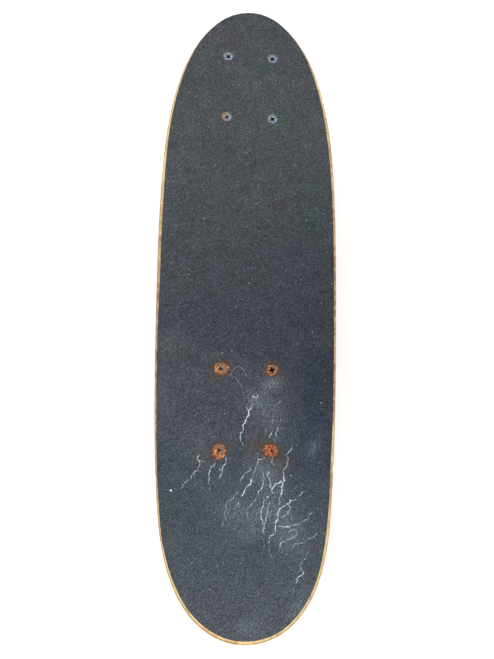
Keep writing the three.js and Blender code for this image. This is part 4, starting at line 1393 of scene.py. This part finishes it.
def wheel_mesh():
    """A 58 mm wheel about Z with round lips and a hollow core, a little dirty where it rolls."""
    core = [(9.5, 4.7), (11.15, 4.7), (11.15, 12.3), (12.4, 12.6), (15.2, 12.9), (16.4, 15.5)]
    lip = [(17.2, 19.2), (18.2, 19.85), (21.2, 19.9), (24.6, 19.3), (27.2, 17.4), (28.6, 14.6)]
    tread = [(28.93, 11.5), (28.98, 6), (28.98, 0.001)]
    profile = both_sides(rounded([*core, *lip, *tread], 1.2, 4)[:-1])
    mesh = made("wheel", *lathe(profile, 128), 50)
    x, y, _ = np.array([v.co for v in mesh.vertices]).T / MM
    add_values(mesh, "wear", 0.12 + 0.6 * np.clip((np.hypot(x, y) - 26.5) / 2.2, 0, 1))
    return mesh


def axle_mesh(half):
    """An axle about Z with its threads at both ends."""
    thread = threads(3.9, half - 1, half - 10, 1.25, 0.45)
    profile = [(0, half), (2.9, half), *thread, (3.95, half - 12), (3.95, 0.001)]
    return made("axle", *lathe(both_sides(profile), 48))


def washer_mesh(name, outer, bore, thickness):
    """A flat washer about Z."""
    profile = [(bore, 0), (outer, 0), (outer, thickness), (bore, thickness), (bore, 0)]
    return made(name, *lathe(rounded(profile, 0.15, 2)[:-1], 48))


def build_trucks():
    """Both trucks. The rear one is the front one turned round."""
    upper, lower = bushing_meshes()
    upper_washer = cupped_washer("upper_washer", BUSHING_RADIUS - 1.2, 1.2)
    lower_washer = cupped_washer("lower_washer", 9.0, -1.2)
    kingpin = kingpin_mesh()
    kingpin_nut = nut_mesh("kingpin_nut", KINGPIN_FLATS, NUT - 1.8, 1.8, KINGPIN_RADIUS + 0.05)
    home = truck_frame("front").inverted()
    baseplate = cast_from("front_baseplate", 1, home)
    hanger = cast_from("front_hanger", 2, home)
    for end in ENDS:
        pin = kingpin_frame(end)
        stack = [
            ("kingpin", kingpin, KINGPIN_STEEL, "kingpin_steel", 0),
            ("upper_washer", upper_washer, WASHER_STEEL, "washer_steel", UPPER_WASHER_AT),
            ("lower_washer", lower_washer, WASHER_STEEL, "washer_steel", LOWER_WASHER_AT),
            ("kingpin_nut", kingpin_nut, [NUT_STEEL, NYLON], "nut_steel", NUT_AT),
        ]
        for name, mesh, surface, slot, start in stack:
            node = f"{end}_{name}"
            place = pin @ Matrix.Translation((0, 0, start * MM))
            piece(f"{node}_fine", mesh, surface, "board", [node], place)
        for name, mesh, start, held, leaning in (
            ("upper_bushing", upper, UPPER_BUSHING_AT, RING_AT - 8.5, RING_AT - 1),
            ("lower_bushing", lower, LOWER_BUSHING_AT, LOWER_WASHER_AT - 1, LOWER_BUSHING_AT + 0.7),
        ):
            node = f"{end}_{name}"
            place = pin @ Matrix.Translation((0, 0, start * MM))
            bushing = piece(f"{node}_fine", mesh.copy(), BUSHING, None, [node], place)
            squeeze_bushing(bushing, end)
        for node, mesh, body in (
            (f"{end}_baseplate", baseplate, "board"),
            (f"{end}_hanger", hanger, f"{end}_hanger_body"),
        ):
            piece(f"{node}_cast", mesh, CASTING, body, [node], truck_frame(end))


SPEED_WASHER_GAP = 0.1


def face_place(node, way, beyond=None):
    """A frame on the side of a node where `way`'s Z goes in, or this far beyond where it comes out."""
    near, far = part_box(node)
    sign = 1
    if (way.to_3x3() @ Vector((0, 0, 1))).x < 0:
        near, far, sign = far, near, -1
    x = near.x if beyond is None else far.x + beyond * MM * sign
    axis = middle_of(node)
    return Matrix.Translation((x, axis.y, axis.z)) @ way


def build_wheels():
    """The axles, and on each end of them a wheel, two bearings, two speed washers and a nut."""
    wheel, bearing = wheel_mesh(), bearing_mesh()
    low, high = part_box("front_axle")
    axle = axle_mesh((high.x - low.x) / MM / 2)
    nut = nut_mesh("axle_nut", 12.7, 5, 1.6, 3.95)
    washer = washer_mesh("speed_washer", 6.4, 4.0, 0.8)
    to_right = Matrix.Rotation(math.pi / 2, 4, "Y")
    to_left = Matrix.Rotation(-math.pi / 2, 4, "Y")
    for end in ENDS:
        hanger_body = f"{end}_hanger_body"
        place = Matrix.Translation(middle_of(f"{end}_axle")) @ to_right
        piece(f"{end}_axle_fine", axle, AXLE_STEEL, hanger_body, [f"{end}_axle"], place)
        for hand in HANDS:
            name = f"{end}_{hand}"
            body = f"{name}_wheel_body"
            outward, inward = (to_right, to_left) if hand == "right" else (to_left, to_right)
            middle = middle_of(f"{name}_wheel")
            # Quarter turns show different sides of the wheels, and keep their own boxes square to the axes.
            quarter = Matrix.Rotation(math.pi / 2 * (len(name) % 4), 4, "Z")
            place = Matrix.Translation(middle) @ outward @ quarter
            piece(f"{name}_wheel_fine", wheel, URETHANE, body, [f"{name}_wheel"], place)
            for where, way in (("outer", outward), ("inner", inward)):
                node = f"{name}_{where}_bearing"
                place = face_place(node, way)
                piece(f"{node}_fine", bearing, [BEARING_STEEL, SHIELD], body, [node], place)
                # A thin washer rubs on each bearing's shielded side.
                place = face_place(node, way, SPEED_WASHER_GAP)
                washer_name = f"{name}_{where}_speed_washer"
                piece(washer_name, washer, WASHER_STEEL, hanger_body, [], place)
            node = f"{name}_axle_nut"
            place = face_place(node, outward) @ Matrix.Rotation(0.4 * len(node), 4, "Z")
            piece(f"{node}_fine", nut, [NUT_STEEL, NYLON], hanger_body, [node], place)


def dress_carried_over_nodes():
    """The nodes whose own shape is right keep it, and get their material."""
    for name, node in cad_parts.items():
        if node.hide_render:
            continue
        surface = CUP if name.endswith("pivot_cup") else SPACER_STEEL
        node.data.materials.clear()
        node.data.materials.append(surface)


# ---- Surroundings ----

FLOOR_SIZE = 8  # metres
SKY_COLOUR, SKY_STRENGTH = (0.97, 0.985, 1.0, 1), 0.85
# Each lamp's place and size in metres, and its power.
LAMPS = {"key": ((-1.1, 0.9, 2.2), 1.8, 26), "fill": ((1.4, -0.8, 1.8), 2.2, 12)}
CAMERA_LENS = 27.3
CAMERA_TILT = Euler([math.radians(a) for a in (12.63, -3.68, 0.71)])
CAMERA_PLACE = (-24.5, -171.1, 398.1)  # from the deck's top face, over the middle of the wheelbase


def build_surroundings():
    bpy.ops.mesh.primitive_plane_add(size=FLOOR_SIZE, location=(0, 0, 0))
    floor = bpy.context.object
    floor.name = "floor"
    floor.data.materials.append(floor_surface())
    build_light()
    build_camera()


def build_light():
    """Pale surroundings with a key lamp and a fill lamp, each aimed at the board."""
    scene = bpy.context.scene
    scene.view_settings.view_transform = "Standard"
    world = bpy.data.worlds.new("studio")
    world.use_nodes = True
    background = world.node_tree.nodes["Background"]
    background.inputs["Color"].default_value = SKY_COLOUR
    background.inputs["Strength"].default_value = SKY_STRENGTH
    scene.world = world
    for name, (place, size, power) in LAMPS.items():
        light = bpy.data.lights.new(name, "AREA")
        light.size = size
        light.energy = power
        lamp = bpy.data.objects.new(name, light)
        lamp.location = place
        lamp.rotation_mode = "QUATERNION"
        lamp.rotation_quaternion = (-Vector(place)).to_track_quat("-Z", "Y")
        scene.collection.objects.link(lamp)


def build_camera():
    scene = bpy.context.scene
    camera = bpy.data.objects.new("camera", bpy.data.cameras.new("camera"))
    camera.data.lens = CAMERA_LENS
    camera.data.clip_start = 0.01
    over, back, up = (c * MM for c in CAMERA_PLACE)
    camera.location = (over, wheelbase_middle + back, deck_top + up)
    camera.rotation_euler = CAMERA_TILT
    scene.collection.objects.link(camera)
    scene.camera = camera


build_deck()
build_grip()
build_deck_hardware()
build_trucks()
build_wheels()
dress_carried_over_nodes()
build_surroundings()
